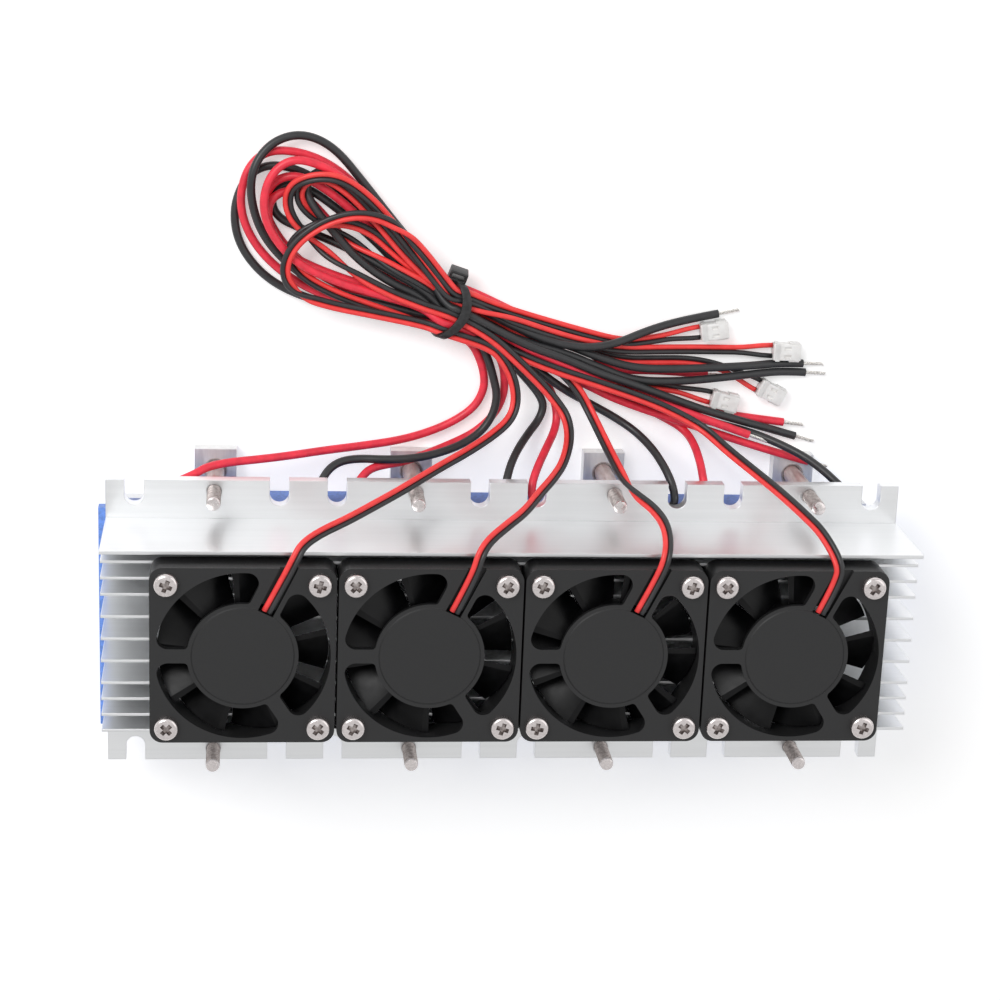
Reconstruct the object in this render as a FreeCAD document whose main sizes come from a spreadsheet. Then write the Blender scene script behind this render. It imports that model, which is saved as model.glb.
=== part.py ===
import FreeCAD, Part
import math
import os
import Sketcher

# A thermoelectric cooling module. It lies on its cold plate: X runs along the module, Y across it
# towards the edge the leads leave by, and Z up through the stack, from the cold face at Z = 0
# through the chips and the hot heat sink to the four fans on top.
# Every length is in millimetres, every angle in degrees.

DRIVING_SIZES = [
    ("chip_count", 4, "thermoelectric chips, and fans, in the row"),
    ("cell_pitch", 56.6, "distance between neighbouring chips"),
    ("sink_length", 226, "heat sink along X"),
    ("base_width", 84, "heat sink base across Y, slotted flanges included"),
    ("base_thick", 4, "heat sink base plate"),
    ("fin_depth", 26, "fins above the base plate"),
    ("fin_thick", 0.8, "one fin"),
    ("fin_middle", 4.4, "Y of the middle fin"),
    ("wide_pitch", 6.4, "pitch of the five middle fins"),
    ("narrow_pitch", 4.65, "pitch of the outer fins"),
    ("shelf_gap", 3.9, "middle of the outer fin to middle of the shelf plate"),
    ("shelf_thick", 1, "shelf plate beside the fans"),
    ("shelf_rise", 4.2, "shelf plate above the fin tips"),
    ("slot_offset", 20.2, "flange slot from the middle of its cell"),
    ("slot_width", 5.4, "flange slot"),
    ("slot_depth", 7.2, "flange slot from the flange's edge"),
    ("bolt_row", 38.8, "clamp bolts from the middle, across Y"),
    ("bolt_shift", 2, "clamp bolts and ears off the middle of their cell, along X"),
    ("plate_thick", 5, "cold plate"),
    ("plate_length", 220, "cold plate along X"),
    ("plate_width", 60, "cold plate across Y, without its ears"),
    ("ear_width", 12, "cold plate ear along X"),
    ("ear_reach", 44.9, "end of an ear from the middle, across Y"),
    ("chip_side", 40, "thermoelectric chip, square"),
    ("chip_thick", 3.9, "thermoelectric chip, over both ceramics"),
    ("ceramic_thick", 0.7, "one ceramic plate of a chip"),
    ("couple_inset", 1.2, "sealed edge of a chip behind its ceramics"),
    ("block_thick", 14.4, "cold block between plate and chip"),
    ("foam_length", 228.2, "foam gasket along X"),
    ("foam_shift", -1.2, "foam gasket off the module's middle, along X"),
    ("foam_width", 65.2, "both foam pieces across Y"),
    ("foam_block_length", 226, "thick foam along X"),
    ("foam_corner", 14, "corner cut off the thick foam"),
    ("foam_gap", 0.3, "foam clear of what it surrounds"),
    ("bolt_r", 2, "clamp bolt shank"),
    ("bolt_length", 40, "clamp bolt over its head"),
    ("bolt_head_r", 3.8, "clamp bolt countersunk head"),
    ("bolt_sunk", 0.1, "clamp bolt head below the cold face"),
    ("thread_gap", 0.03, "screw thread clear of its tapped hole"),
    ("sleeve_r", 2.65, "bolt sleeve outside"),
    ("sleeve_gap", 0.15, "bolt sleeve clear of bolt and ear"),
    ("sleeve_seat", 2.4, "bottom of the ear's bore above the cold face"),
    ("ear_chamfer", 0.6, "mouth of the ear's bore"),
    ("fan_side", 50, "fan frame, square"),
    ("fan_thick", 10, "fan frame"),
    ("fan_corner", 3.5, "fan frame corner radius"),
    ("fan_pitch", 50.6, "distance between neighbouring fans"),
    ("fan_shift", 1.4, "fan row off the module's middle, along X"),
    ("fan_row", 3.1, "fan row off the module's middle, across Y"),
    ("duct_r", 23.7, "fan frame air duct"),
    ("fan_hole_half", 20.5, "half of the fan's screw spacing"),
    ("screw_r", 1.5, "fan screw shank"),
    ("screw_hole_gap", 0.2, "fan screw clear of the frame's hole"),
    ("screw_length", 16, "fan screw under its head"),
    ("screw_head_r", 2.9, "fan screw head"),
    ("screw_head_rise", 2.2, "fan screw head height"),
    ("motor_r", 15, "motor plate of the frame"),
    ("motor_thick", 1.4, "motor plate of the frame"),
    ("strut_width", 4, "plain strut of the frame"),
    ("strut_thick", 2.2, "struts of the frame"),
    ("lead_strut_left", 5, "strut that carries the leads, on its wide side"),
    ("lead_strut_right", 3.6, "strut that carries the leads, on its narrow side"),
    ("lead_strut_angle", 64, "strut that carries the leads, from X"),
    ("strut_step_back", 116, "plain strut behind the lead strut, round the axis"),
    ("strut_step_front", 121, "plain strut before the lead strut, round the axis"),
    ("strut_fillet", 3, "corner between a strut and the duct wall"),
    ("plate_fillet", 1.2, "corner between a strut and the motor plate"),
    ("post_r", 3, "bearing post of the frame"),
    ("bearing_r", 2.2, "bearing outside"),
    ("bearing_length", 5.4, "bearing"),
    ("shaft_r", 1, "rotor shaft"),
    ("running_gap", 0.04, "shaft in its bearing, radial"),
    ("seat_gap", 0.02, "bearing and shaft seats, radial"),
    ("blade_count", 9, "rotor blades"),
    ("blade_tip_gap", 0.5, "blade tips to the duct"),
    ("blade_thick", 0.9, "rotor blade"),
    ("blade_root_angle", 42, "blade to the rotor's plane at the hub"),
    ("blade_tip_angle", 28, "blade to the rotor's plane at the tip"),
    ("hub_r", 13.8, "rotor hub outside"),
    ("hub_wall", 1.4, "rotor hub wall with its magnet ring"),
    ("hub_floor", 1.3, "rotor hub end wall"),
    ("rotor_gap", 0.5, "rotor clear of the fins and of the struts"),
    ("core_r", 11.2, "stator outside"),
    ("core_thick", 2.4, "stator"),
    ("pole_gap", 2.6, "gap between two stator poles"),
    ("board_r", 11.6, "circuit board"),
    ("board_thick", 0.8, "circuit board"),
    ("chip_lead_d", 2.4, "one chip lead"),
    ("chip_lead_offset", 16, "chip leads from the middle of the chip"),
    ("chip_lead_turn", 37, "chip leads run straight to this far from the middle, across Y"),
    ("channel_gap", 0.25, "gasket channel wider than its lead, each side"),
    ("fan_wire_d", 1.5, "one wire of a fan's twin lead"),
    ("bundle_low", 0.1, "underside of the tied leads"),
    ("bundle_high", 10.1, "top of the tied leads"),
    ("neck_width", 16.4, "tied leads inside the cable tie"),
    ("tie_width", 3.6, "cable tie strap"),
    ("tie_thick", 1.1, "cable tie strap"),
    ("tie_head", 5.2, "cable tie head"),
    ("tip_r", 0.65, "tinned end of a chip lead"),
    ("tip_length", 6.3, "tinned end of a chip lead"),
    ("plug_length", 8.4, "fan plug"),
    ("plug_width", 5, "fan plug"),
    ("plug_high", 4.6, "fan plug"),
]

doc = FreeCAD.newDocument("cooling_module")
nodes = []


class Size:
    """A length that knows its value and the spreadsheet expression that it comes from."""

    def __init__(self, text, value):
        self.text = text
        self.value = value

    def join(self, other, sign, value):
        return Size("(%s %s %s)" % (self.text, sign, other.text), value)

    def __add__(self, other):
        other = as_size(other)
        return self.join(other, "+", self.value + other.value)

    def __radd__(self, other):
        return as_size(other) + self

    def __sub__(self, other):
        other = as_size(other)
        return self.join(other, "-", self.value - other.value)

    def __rsub__(self, other):
        return as_size(other) - self

    def __mul__(self, other):
        other = as_size(other)
        return self.join(other, "*", self.value * other.value)

    def __rmul__(self, other):
        return as_size(other) * self

    def __truediv__(self, other):
        other = as_size(other)
        return self.join(other, "/", self.value / other.value)

    def __neg__(self):
        return as_size(-1) * self


def as_size(number):
    return number if isinstance(number, Size) else Size(repr(number), float(number))


def write_sheet():
    """Fills the spreadsheet and returns its sizes by name."""
    sheet = doc.addObject("Spreadsheet::Sheet", "Sizes")
    sizes = {}
    for row, (alias, value, note) in enumerate(DRIVING_SIZES, 1):
        sheet.set("A%d" % row, note)
        sheet.set("B%d" % row, str(value))
        sheet.setAlias("B%d" % row, alias)
        sizes[alias] = Size("Sizes." + alias, float(value))
    doc.recompute()
    return sizes


size = write_sheet()


def length(name):
    return size[name].value


# Levels of the stack above the cold face

block_low = size["plate_thick"]
chip_low = block_low + size["block_thick"]
base_low = chip_low + size["chip_thick"]
base_top = base_low + size["base_thick"]
fin_top = base_top + size["fin_depth"]
fan_top = fin_top + size["fan_thick"]
lead_level = chip_low + size["chip_thick"] / 2


def cell_x(index):
    """X of the middle of a chip and its cold block."""
    return size["cell_pitch"] * (index - (length("chip_count") - 1) / 2)


def bolt_x(index):
    """X of a pair of clamp bolts and of the ears that they hold."""
    return cell_x(index) + size["bolt_shift"]


def fan_x(index):
    return size["fan_shift"] + size["fan_pitch"] * (index - (length("chip_count") - 1) / 2)


cells = range(int(length("chip_count")))
sides = (-1, 1)


# Helpers for objects bound to the spreadsheet

def bind(item, **sizes_by_property):
    for name, value in sizes_by_property.items():
        item.setExpression(name, as_size(value).text)


def place(item, x, y, z):
    for axis, value in zip("xyz", (x, y, z)):
        item.setExpression("Placement.Base." + axis, as_size(value).text)
    return item


def box(name, x, y, z, dx, dy, dz):
    """A box centred on x and y, standing on z."""
    item = doc.addObject("Part::Box", name)
    bind(item, Length=dx, Width=dy, Height=dz)
    return place(item, x - as_size(dx) / 2, y - as_size(dy) / 2, z)


def cylinder(name, x, y, z, radius, height):
    item = doc.addObject("Part::Cylinder", name)
    bind(item, Radius=radius, Height=height)
    return place(item, x, y, z)


def cone(name, x, y, z, low_radius, high_radius, height):
    item = doc.addObject("Part::Cone", name)
    bind(item, Radius1=low_radius, Radius2=high_radius, Height=height)
    return place(item, x, y, z)


def fuse(name, shapes):
    item = doc.addObject("Part::MultiFuse", name)
    item.Shapes = shapes
    item.Refine = True
    return item


def cut(name, base, tools):
    item = doc.addObject("Part::Cut", name)
    item.Base = base
    item.Tool = tools[0] if len(tools) == 1 else fuse(name + "_tools", tools)
    item.Refine = True
    return item


def group(name, shapes):
    item = doc.addObject("Part::Compound", name)
    item.Links = shapes
    return item


def node(item, label):
    item.Label = label
    nodes.append(item)
    return item


def made(label, shape):
    """A sub-part whose shape is worked out here from the spreadsheet's sizes."""
    item = doc.addObject("Part::Feature", label)
    item.Shape = shape
    return node(item, label)


# Helpers for sketches whose dimensions are bound to the spreadsheet

def new_body(label):
    body = doc.addObject("PartDesign::Body", label)
    return node(body, label)


def new_sketch(body, name, role, offset):
    """A sketch on one of the body's origin planes, moved along its normal by offset."""
    plane = [item for item in body.Origin.OriginFeatures if item.Role == role][0]
    sketch = body.newObject("Sketcher::SketchObject", name)
    sketch.AttachmentSupport = [(plane, "")]
    sketch.MapMode = "FlatFace"
    sketch.setExpression("AttachmentOffset.Base.z", as_size(offset).text)
    return sketch


def point_on(line, first, second):
    return FreeCAD.Vector(line[0] + first, line[1] + second, 0)


def fix(sketch, kind, *places, bound):
    """Adds a dimension to the sketch and binds it."""
    index = sketch.addConstraint(Sketcher.Constraint(kind, *places, bound.value))
    sketch.setExpression("Constraints[%d]" % index, bound.text)


def locate(sketch, element, end, first, second):
    """Fixes a point of the sketch at its two coordinates."""
    fix(sketch, "DistanceX", -1, 1, element, end, bound=as_size(first))
    fix(sketch, "DistanceY", -1, 1, element, end, bound=as_size(second))


def outline(sketch, corners):
    """A closed outline of straight lines through corners, each corner held by its coordinates."""
    points = [FreeCAD.Vector(as_size(a).value, as_size(b).value, 0) for a, b in corners]
    first = sketch.GeometryCount
    count = len(points)
    for i in range(count):
        sketch.addGeometry(Part.LineSegment(points[i], points[(i + 1) % count]), False)
    for i in range(count):
        sketch.addConstraint(
            Sketcher.Constraint("Coincident", first + i, 2, first + (i + 1) % count, 1))
    for i, (a, b) in enumerate(corners):
        locate(sketch, first + i, 1, a, b)


def rectangle(sketch, x, y, dx, dy):
    """A rectangle centred on x and y."""
    x, y, dx, dy = (as_size(value) for value in (x, y, dx, dy))
    left, right = x - dx / 2, x + dx / 2
    low, high = y - dy / 2, y + dy / 2
    outline(sketch, [(left, low), (right, low), (right, high), (left, high)])


def circle(sketch, x, y, radius):
    x, y, radius = (as_size(value) for value in (x, y, radius))
    centre = FreeCAD.Vector(x.value, y.value, 0)
    index = sketch.addGeometry(
        Part.Circle(centre, FreeCAD.Vector(0, 0, 1), radius.value), False)
    locate(sketch, index, 3, x, y)
    fix(sketch, "Radius", index, bound=radius)


def open_slot(sketch, x, edge, depth, width, side):
    """A slot cut in from an edge at y = edge, with a round bottom. side is 1 for an upper edge."""
    x, edge, depth, width = (as_size(value) for value in (x, edge, depth, width))
    radius = width / 2
    middle = edge - side * (depth - radius)
    outside = edge + side * radius
    centre = FreeCAD.Vector(x.value, middle.value, 0)
    span = (math.pi, 2 * math.pi) if side > 0 else (0, math.pi)
    arc = sketch.addGeometry(Part.ArcOfCircle(
        Part.Circle(centre, FreeCAD.Vector(0, 0, 1), radius.value), *span), False)
    left, right = x.value - radius.value, x.value + radius.value
    first_x, last_x = (left, right) if side > 0 else (right, left)
    corners = [(first_x, middle.value), (first_x, outside.value),
               (last_x, outside.value), (last_x, middle.value)]
    points = [FreeCAD.Vector(a, b, 0) for a, b in corners]
    lines = [sketch.addGeometry(Part.LineSegment(points[i], points[i + 1]), False)
             for i in range(3)]
    sketch.addConstraint(Sketcher.Constraint("Coincident", arc, 1, lines[0], 1))
    sketch.addConstraint(Sketcher.Constraint("Coincident", lines[0], 2, lines[1], 1))
    sketch.addConstraint(Sketcher.Constraint("Coincident", lines[1], 2, lines[2], 1))
    sketch.addConstraint(Sketcher.Constraint("Coincident", lines[2], 2, arc, 2))
    sketch.addConstraint(Sketcher.Constraint("Vertical", lines[0]))
    sketch.addConstraint(Sketcher.Constraint("Vertical", lines[2]))
    sketch.addConstraint(Sketcher.Constraint("Horizontal", lines[1]))
    locate(sketch, arc, 3, x, middle)
    fix(sketch, "Radius", arc, bound=radius)
    sketch.addConstraint(Sketcher.Constraint("Horizontal", arc, 1, arc, 2))
    fix(sketch, "DistanceY", -1, 1, lines[0], 2, bound=outside)


def pad(body, sketch, height, middle=False):
    item = body.newObject("PartDesign::Pad", sketch.Name + "_pad")
    item.Profile = sketch
    bind(item, Length=height)
    item.Midplane = middle
    return item


def pocket(body, sketch, depth):
    """Cuts the sketch down into the body, and checks that it took something away."""
    doc.recompute()
    before = body.Shape.Volume
    item = body.newObject("PartDesign::Pocket", sketch.Name + "_cut")
    item.Profile = sketch
    bind(item, Length=depth)
    doc.recompute()
    if body.Shape.Volume > before - 1e-6:
        raise RuntimeError(sketch.Name + " cut nothing")
    return item


# The hot side

def fin_places():
    """Y of every fin's middle, from the lowest to the one beside the shelf plate."""
    middle, wide, narrow = size["fin_middle"], size["wide_pitch"], size["narrow_pitch"]
    lower = [middle - 2 * wide - k * narrow for k in (3, 2, 1)]
    centre = [middle + k * wide for k in (-2, -1, 0, 1, 2)]
    upper = [middle + 2 * wide + k * narrow for k in (1, 2)]
    return lower + centre + upper


def make_heat_sink():
    """One extrusion along X: base plate, ten fins and the longer shelf plate, then its cuts."""
    body = new_body("heat_sink")
    profile = new_sketch(body, "sink_base", "YZ_Plane", 0)
    rectangle(profile, 0, base_low + size["base_thick"] / 2, size["base_width"], size["base_thick"])
    pad(body, profile, size["sink_length"], middle=True)
    doc.recompute()
    comb = new_sketch(body, "sink_fins", "YZ_Plane", 0)
    places = fin_places()
    for place_y in places:
        rectangle(comb, place_y, base_top + size["fin_depth"] / 2,
                  size["fin_thick"], size["fin_depth"])
    shelf_high = size["fin_depth"] + size["shelf_rise"]
    rectangle(comb, places[-1] + size["shelf_gap"], base_top + shelf_high / 2,
              size["shelf_thick"], shelf_high)
    pad(body, comb, size["sink_length"], middle=True)
    doc.recompute()
    slots = new_sketch(body, "sink_slots", "XY_Plane", base_top)
    for index in cells:
        for hand in sides:
            for side in sides:
                open_slot(slots, cell_x(index) + hand * size["slot_offset"],
                          side * size["base_width"] / 2, size["slot_depth"],
                          size["slot_width"], side)
    pocket(body, slots, size["base_thick"])
    tapped = new_sketch(body, "sink_tapped_holes", "XY_Plane", base_top)
    for index in cells:
        for side in sides:
            circle(tapped, bolt_x(index), side * size["bolt_row"],
                   size["bolt_r"] + size["thread_gap"])
    pocket(body, tapped, size["base_thick"])
    pilots = new_sketch(body, "sink_fan_pilots", "XY_Plane", fin_top)
    for x, y in fan_holes():
        circle(pilots, x, y, size["screw_r"] + size["thread_gap"])
    pocket(body, pilots, size["screw_length"] - size["fan_thick"] + size["thread_gap"])


def fan_holes():
    """X and Y of every fan screw."""
    half = size["fan_hole_half"]
    return [(fan_x(index) + hand * half, size["fan_row"] + side * half)
            for index in cells for hand in sides for side in sides]


# The cold side

def make_cold_plate():
    """A flat plate with a bored ear at both edges of every cell."""
    body = new_body("cold_plate")
    plan = new_sketch(body, "plate_plan", "XY_Plane", 0)
    corners = []
    for side in sides:
        half = size["plate_width"] / 2
        ordered = cells if side < 0 else reversed(cells)
        corners.append((side * size["plate_length"] / 2, side * half))
        for index in ordered:
            near = bolt_x(index) + side * size["ear_width"] / 2
            far = bolt_x(index) - side * size["ear_width"] / 2
            for x, y in ((near, half), (near, size["ear_reach"]),
                         (far, size["ear_reach"]), (far, half)):
                corners.append((x, side * y))
        corners.append((-side * size["plate_length"] / 2, side * half))
    outline(plan, corners)
    pad(body, plan, size["plate_thick"])
    bores = new_sketch(body, "plate_bores", "XY_Plane", size["plate_thick"])
    for index in cells:
        for side in sides:
            circle(bores, bolt_x(index), side * size["bolt_row"],
                   size["sleeve_r"] + size["sleeve_gap"])
    pocket(body, bores, size["plate_thick"] - size["sleeve_seat"])
    drills = new_sketch(body, "plate_drills", "XY_Plane", size["sleeve_seat"])
    for index in cells:
        for side in sides:
            circle(drills, bolt_x(index), side * size["bolt_row"],
                   size["bolt_r"] + size["sleeve_gap"])
    pocket(body, drills, size["sleeve_seat"])
    bevel_rims(body, "plate_mouths", size["sleeve_r"] + size["sleeve_gap"],
               size["plate_thick"], size["ear_chamfer"])
    bevel_rims(body, "plate_countersinks", size["bolt_r"] + size["sleeve_gap"],
               as_size(0), size["bolt_head_r"] - size["bolt_r"])


def bevel_rims(body, name, radius, level, amount):
    """Chamfers every round edge of the body that has this radius and lies at this level."""
    doc.recompute()
    tip = body.Tip
    rims = []
    for number, edge in enumerate(tip.Shape.Edges, 1):
        curve = edge.Curve
        if not isinstance(curve, Part.Circle):
            continue
        if abs(curve.Radius - radius.value) < 0.01 and abs(curve.Center.z - level.value) < 0.01:
            rims.append("Edge%d" % number)
    item = body.newObject("PartDesign::Chamfer", name)
    item.Base = (tip, rims)
    bind(item, Size=amount)


def make_cold_blocks():
    for index in cells:
        block = box("cold_block_%d" % (index + 1), cell_x(index), 0, block_low,
                    size["chip_side"], size["chip_side"], size["block_thick"])
        node(block, "cold_block_%d" % (index + 1))


def make_chips():
    """Each chip is two ceramic plates with the sealed couples between them."""
    couple_side = size["chip_side"] - 2 * size["couple_inset"]
    for index in cells:
        name = "chip_%d" % (index + 1)
        x = cell_x(index)
        side = size["chip_side"]
        low = box(name + "_low", x, 0, chip_low, side, side, size["ceramic_thick"])
        middle = box(name + "_couples", x, 0, chip_low, couple_side, couple_side,
                     size["chip_thick"])
        high = box(name + "_high", x, 0, base_low - size["ceramic_thick"], side, side,
                   size["ceramic_thick"])
        node(fuse(name, [low, middle, high]), "thermoelectric_chip_%d" % (index + 1))


def make_foam():
    """A thin gasket round the chips, with a channel for each lead, and thick foam round the blocks."""
    hole = size["chip_side"] + 2 * size["foam_gap"]
    half = size["foam_width"] / 2
    channel = size["chip_lead_d"] + 2 * size["channel_gap"]
    body = new_body("foam_gasket")
    sheet = new_sketch(body, "gasket_sheet", "XY_Plane", chip_low)
    rectangle(sheet, size["foam_shift"], 0, size["foam_length"], size["foam_width"])
    pad(body, sheet, size["chip_thick"])
    windows = new_sketch(body, "gasket_windows", "XY_Plane", base_low)
    reach = half - size["chip_side"] / 2
    for index in cells:
        rectangle(windows, cell_x(index), 0, hole, hole)
    pocket(body, windows, size["chip_thick"])
    channels = new_sketch(body, "gasket_channels", "XY_Plane", base_low)
    for index in cells:
        for hand in sides:
            rectangle(channels, cell_x(index) + hand * size["chip_lead_offset"],
                      size["chip_side"] / 2 + reach, channel, 2 * reach)
    pocket(body, channels, (size["chip_thick"] + channel) / 2)

    body = doc.addObject("PartDesign::Body", "foam_block_sheet")
    sheet = new_sketch(body, "block_sheet", "XY_Plane", block_low)
    end = size["foam_block_length"] / 2
    bevel = size["foam_corner"]
    outline(sheet, [(-end + bevel, -half), (end - bevel, -half), (end, -half + bevel),
                    (end, half - bevel), (end - bevel, half), (-end + bevel, half),
                    (-end, half - bevel), (-end, -half + bevel)])
    pad(body, sheet, size["block_thick"])
    windows = new_sketch(body, "block_windows", "XY_Plane", chip_low)
    for index in cells:
        rectangle(windows, cell_x(index), 0, hole, hole)
    pocket(body, windows, size["block_thick"])
    clear = [cylinder("foam_clear_%d_%s" % (index + 1, "lower" if side < 0 else "upper"),
                      bolt_x(index), side * size["bolt_row"], block_low,
                      size["sleeve_r"] + size["foam_gap"], size["block_thick"])
             for index in cells for side in sides]
    node(cut("foam_block_clear_of_sleeves", body, clear), "foam_block")


# Fasteners

def cross_recess(name, x, y, z, reach, depth):
    """The cross-shaped tool of a driver, standing on z."""
    bar = reach * 2
    width = reach / 2
    return [box(name + "_a", x, y, z, bar, width, depth),
            box(name + "_b", x, y, z, width, bar, depth)]


def make_clamp_bolts():
    """Countersunk bolts from the cold face up through ear, sleeve and tapped base plate."""
    bolts = []
    low = size["bolt_sunk"]
    head_high = size["bolt_head_r"] - size["bolt_r"]
    for index in cells:
        for side in sides:
            name = "bolt_%d_%s" % (index + 1, "lower" if side < 0 else "upper")
            x, y = bolt_x(index), side * size["bolt_row"]
            shank = cylinder(name + "_shank", x, y, low, size["bolt_r"], size["bolt_length"])
            head = cone(name + "_head", x, y, low, size["bolt_head_r"] - size["bolt_sunk"],
                        size["bolt_r"] - size["bolt_sunk"], head_high)
            tools = cross_recess(name + "_recess", x, y, low, size["bolt_r"], head_high / 2)
            bolts.append(cut(name, fuse(name + "_blank", [shank, head]), tools))
    node(group("clamp_bolts_group", bolts), "clamp_bolts")


def make_bolt_sleeves():
    sleeves = []
    high = base_low - size["sleeve_seat"]
    for index in cells:
        for side in sides:
            name = "sleeve_%d_%s" % (index + 1, "lower" if side < 0 else "upper")
            x, y = bolt_x(index), side * size["bolt_row"]
            outside = cylinder(name + "_outside", x, y, size["sleeve_seat"],
                               size["sleeve_r"], high)
            inside = cylinder(name + "_inside", x, y, size["sleeve_seat"],
                              size["bolt_r"] + size["sleeve_gap"], high)
            sleeves.append(cut(name, outside, [inside]))
    node(group("bolt_sleeves_group", sleeves), "bolt_sleeves")


def make_fan_screws():
    screws = []
    for number, (x, y) in enumerate(fan_holes(), 1):
        name = "screw_%d" % number
        shank = cylinder(name + "_shank", x, y, fan_top - size["screw_length"],
                         size["screw_r"], size["screw_length"])
        straight = size["screw_head_rise"] / 2
        rim = cylinder(name + "_rim", x, y, fan_top, size["screw_head_r"], straight)
        crown = cone(name + "_crown", x, y, fan_top + straight, size["screw_head_r"],
                     size["screw_head_r"] - straight, straight)
        tools = cross_recess(name + "_recess", x, y, fan_top + straight,
                             size["screw_head_r"] / 2, straight)
        screws.append(cut(name, fuse(name + "_blank", [shank, rim, crown]), tools))
    node(group("fan_screws_group", screws), "fan_screws")


# Fans

def strut_angles():
    lead = length("lead_strut_angle")
    return [lead, lead + length("strut_step_back"), lead - length("strut_step_front")]


def strut_sides():
    """How far each strut reaches to its left and to its right, seen along it from the motor."""
    plain = size["strut_width"] / 2
    return [(size["lead_strut_left"], size["lead_strut_right"]), (plain, plain), (plain, plain)]


def strut(name, x, y, angle, left, right):
    """A flat bar from the motor plate's middle out into the duct wall."""
    reach = size["duct_r"] + (size["fan_side"] / 2 - size["duct_r"]) / 2
    item = doc.addObject("Part::Box", name)
    bind(item, Length=reach, Width=left + right, Height=size["strut_thick"])
    item.Placement.Rotation = FreeCAD.Rotation(FreeCAD.Vector(0, 0, 1), angle)
    turn = math.radians(angle)
    return place(item, x + right * math.sin(turn), y - right * math.cos(turn),
                 fan_top - size["strut_thick"])


def corner_web(edge, radius, side, outward):
    """The profile of a rounded corner between a strut's side and a round wall about the origin.

    The strut runs along X and side is half its width. The wall is outside the corner if outward
    is 1, and inside it if outward is -1."""
    overlap = (length("fan_side") / 2 - length("duct_r")) / 2
    across = side + radius
    round_off = edge - outward * radius
    along = math.sqrt(round_off ** 2 - across ** 2)
    middle = FreeCAD.Vector(along, across, 0)
    radial = middle * (1 / middle.Length)
    on_wall = radial * edge
    in_wall = radial * (edge + outward * overlap)
    heading = math.atan2(outward * radial.y, outward * radial.x)
    if outward < 0:
        heading = math.atan2(radial.y, radial.x) - math.pi
    between = (heading - math.pi / 2) / 2
    bulge = middle + FreeCAD.Vector(math.cos(between), math.sin(between), 0) * radius
    on_strut = FreeCAD.Vector(along, side, 0)
    in_strut = FreeCAD.Vector(along, side - overlap, 0)
    corner_x = math.sqrt(in_wall.Length ** 2 - in_strut.y ** 2)
    corner = FreeCAD.Vector(corner_x, in_strut.y, 0)
    lines = [Part.makeLine(on_strut, in_strut), Part.makeLine(in_strut, corner),
             Part.makeLine(corner, in_wall), Part.makeLine(in_wall, on_wall),
             Part.Arc(on_wall, bulge, on_strut).toShape()]
    return Part.Face(Part.Wire(lines))


def strut_webs(name, x, y):
    """The rounded corners of the frame's windows, at both ends of every strut."""
    thick = length("strut_thick")
    corners = [(length("duct_r"), length("strut_fillet"), 1),
               (length("motor_r"), length("plate_fillet"), -1)]
    webs = []
    for angle, reaches in zip(strut_angles(), strut_sides()):
        for reach, mirrored in zip(reaches, (False, True)):
            for edge, radius, outward in corners:
                web = corner_web(edge, radius, reach.value, outward)
                if mirrored:
                    web = web.mirror(FreeCAD.Vector(0, 0, 0), FreeCAD.Vector(0, 1, 0))
                web = web.extrude(FreeCAD.Vector(0, 0, thick))
                web.rotate(FreeCAD.Vector(0, 0, 0), FreeCAD.Vector(0, 0, 1), angle)
                webs.append(web)
    item = doc.addObject("Part::Feature", name)
    item.Shape = Part.makeCompound(webs)
    return place(item, x, y, fan_top - size["strut_thick"])


def make_fan_frame(index):
    """A square frame with a round duct. Three struts carry the motor plate and its bearing post."""
    name = "fan_frame_%d" % (index + 1)
    x, y = fan_x(index), size["fan_row"]
    side, corner, high = size["fan_side"], size["fan_corner"], size["fan_thick"]
    rounds = [cylinder("%s_corner_%d" % (name, k), x + a * (side / 2 - corner),
                       y + b * (side / 2 - corner), fin_top, corner, high)
              for k, (a, b) in enumerate([(-1, -1), (1, -1), (1, 1), (-1, 1)], 1)]
    slab = fuse(name + "_slab", rounds + [
        box(name + "_along", x, y, fin_top, side, side - 2 * corner, high),
        box(name + "_across", x, y, fin_top, side - 2 * corner, side, high)])
    duct = cylinder(name + "_duct", x, y, fin_top, size["duct_r"], high)
    wall = cut(name + "_wall", slab, [duct])
    struts = [strut("%s_strut_%d" % (name, k), x, y, angle, left, right)
              for k, (angle, (left, right)) in enumerate(zip(strut_angles(), strut_sides()), 1)]
    struts.append(strut_webs(name + "_webs", x, y))
    motor = cylinder(name + "_motor", x, y, fan_top - size["motor_thick"],
                     size["motor_r"], size["motor_thick"])
    post_low = fan_top - size["motor_thick"] - size["bearing_length"]
    post = cylinder(name + "_post", x, y, post_low, size["post_r"],
                    size["bearing_length"] + size["motor_thick"])
    whole = fuse(name + "_whole", [wall, motor, post] + struts)

    tools = [cylinder("%s_hole_%d" % (name, k), x + a * size["fan_hole_half"],
                      y + b * size["fan_hole_half"], fin_top,
                      size["screw_r"] + size["screw_hole_gap"], high)
             for k, (a, b) in enumerate([(-1, -1), (1, -1), (1, 1), (-1, 1)], 1)]
    tools.append(cylinder(name + "_seat", x, y, post_low,
                          size["bearing_r"] + size["seat_gap"], size["bearing_length"]))
    under = size["strut_thick"] - size["motor_thick"]
    tools.append(cut(name + "_under", cylinder(
        name + "_under_disc", x, y, fan_top - size["strut_thick"], size["hub_r"] + 2 * under,
        under), [cylinder(name + "_under_post", x, y, fan_top - size["strut_thick"],
                          size["post_r"], under)]))
    channel = lead_channel(name + "_channel", x, y)
    node(cut(name, whole, tools + [channel]), name)


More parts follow.
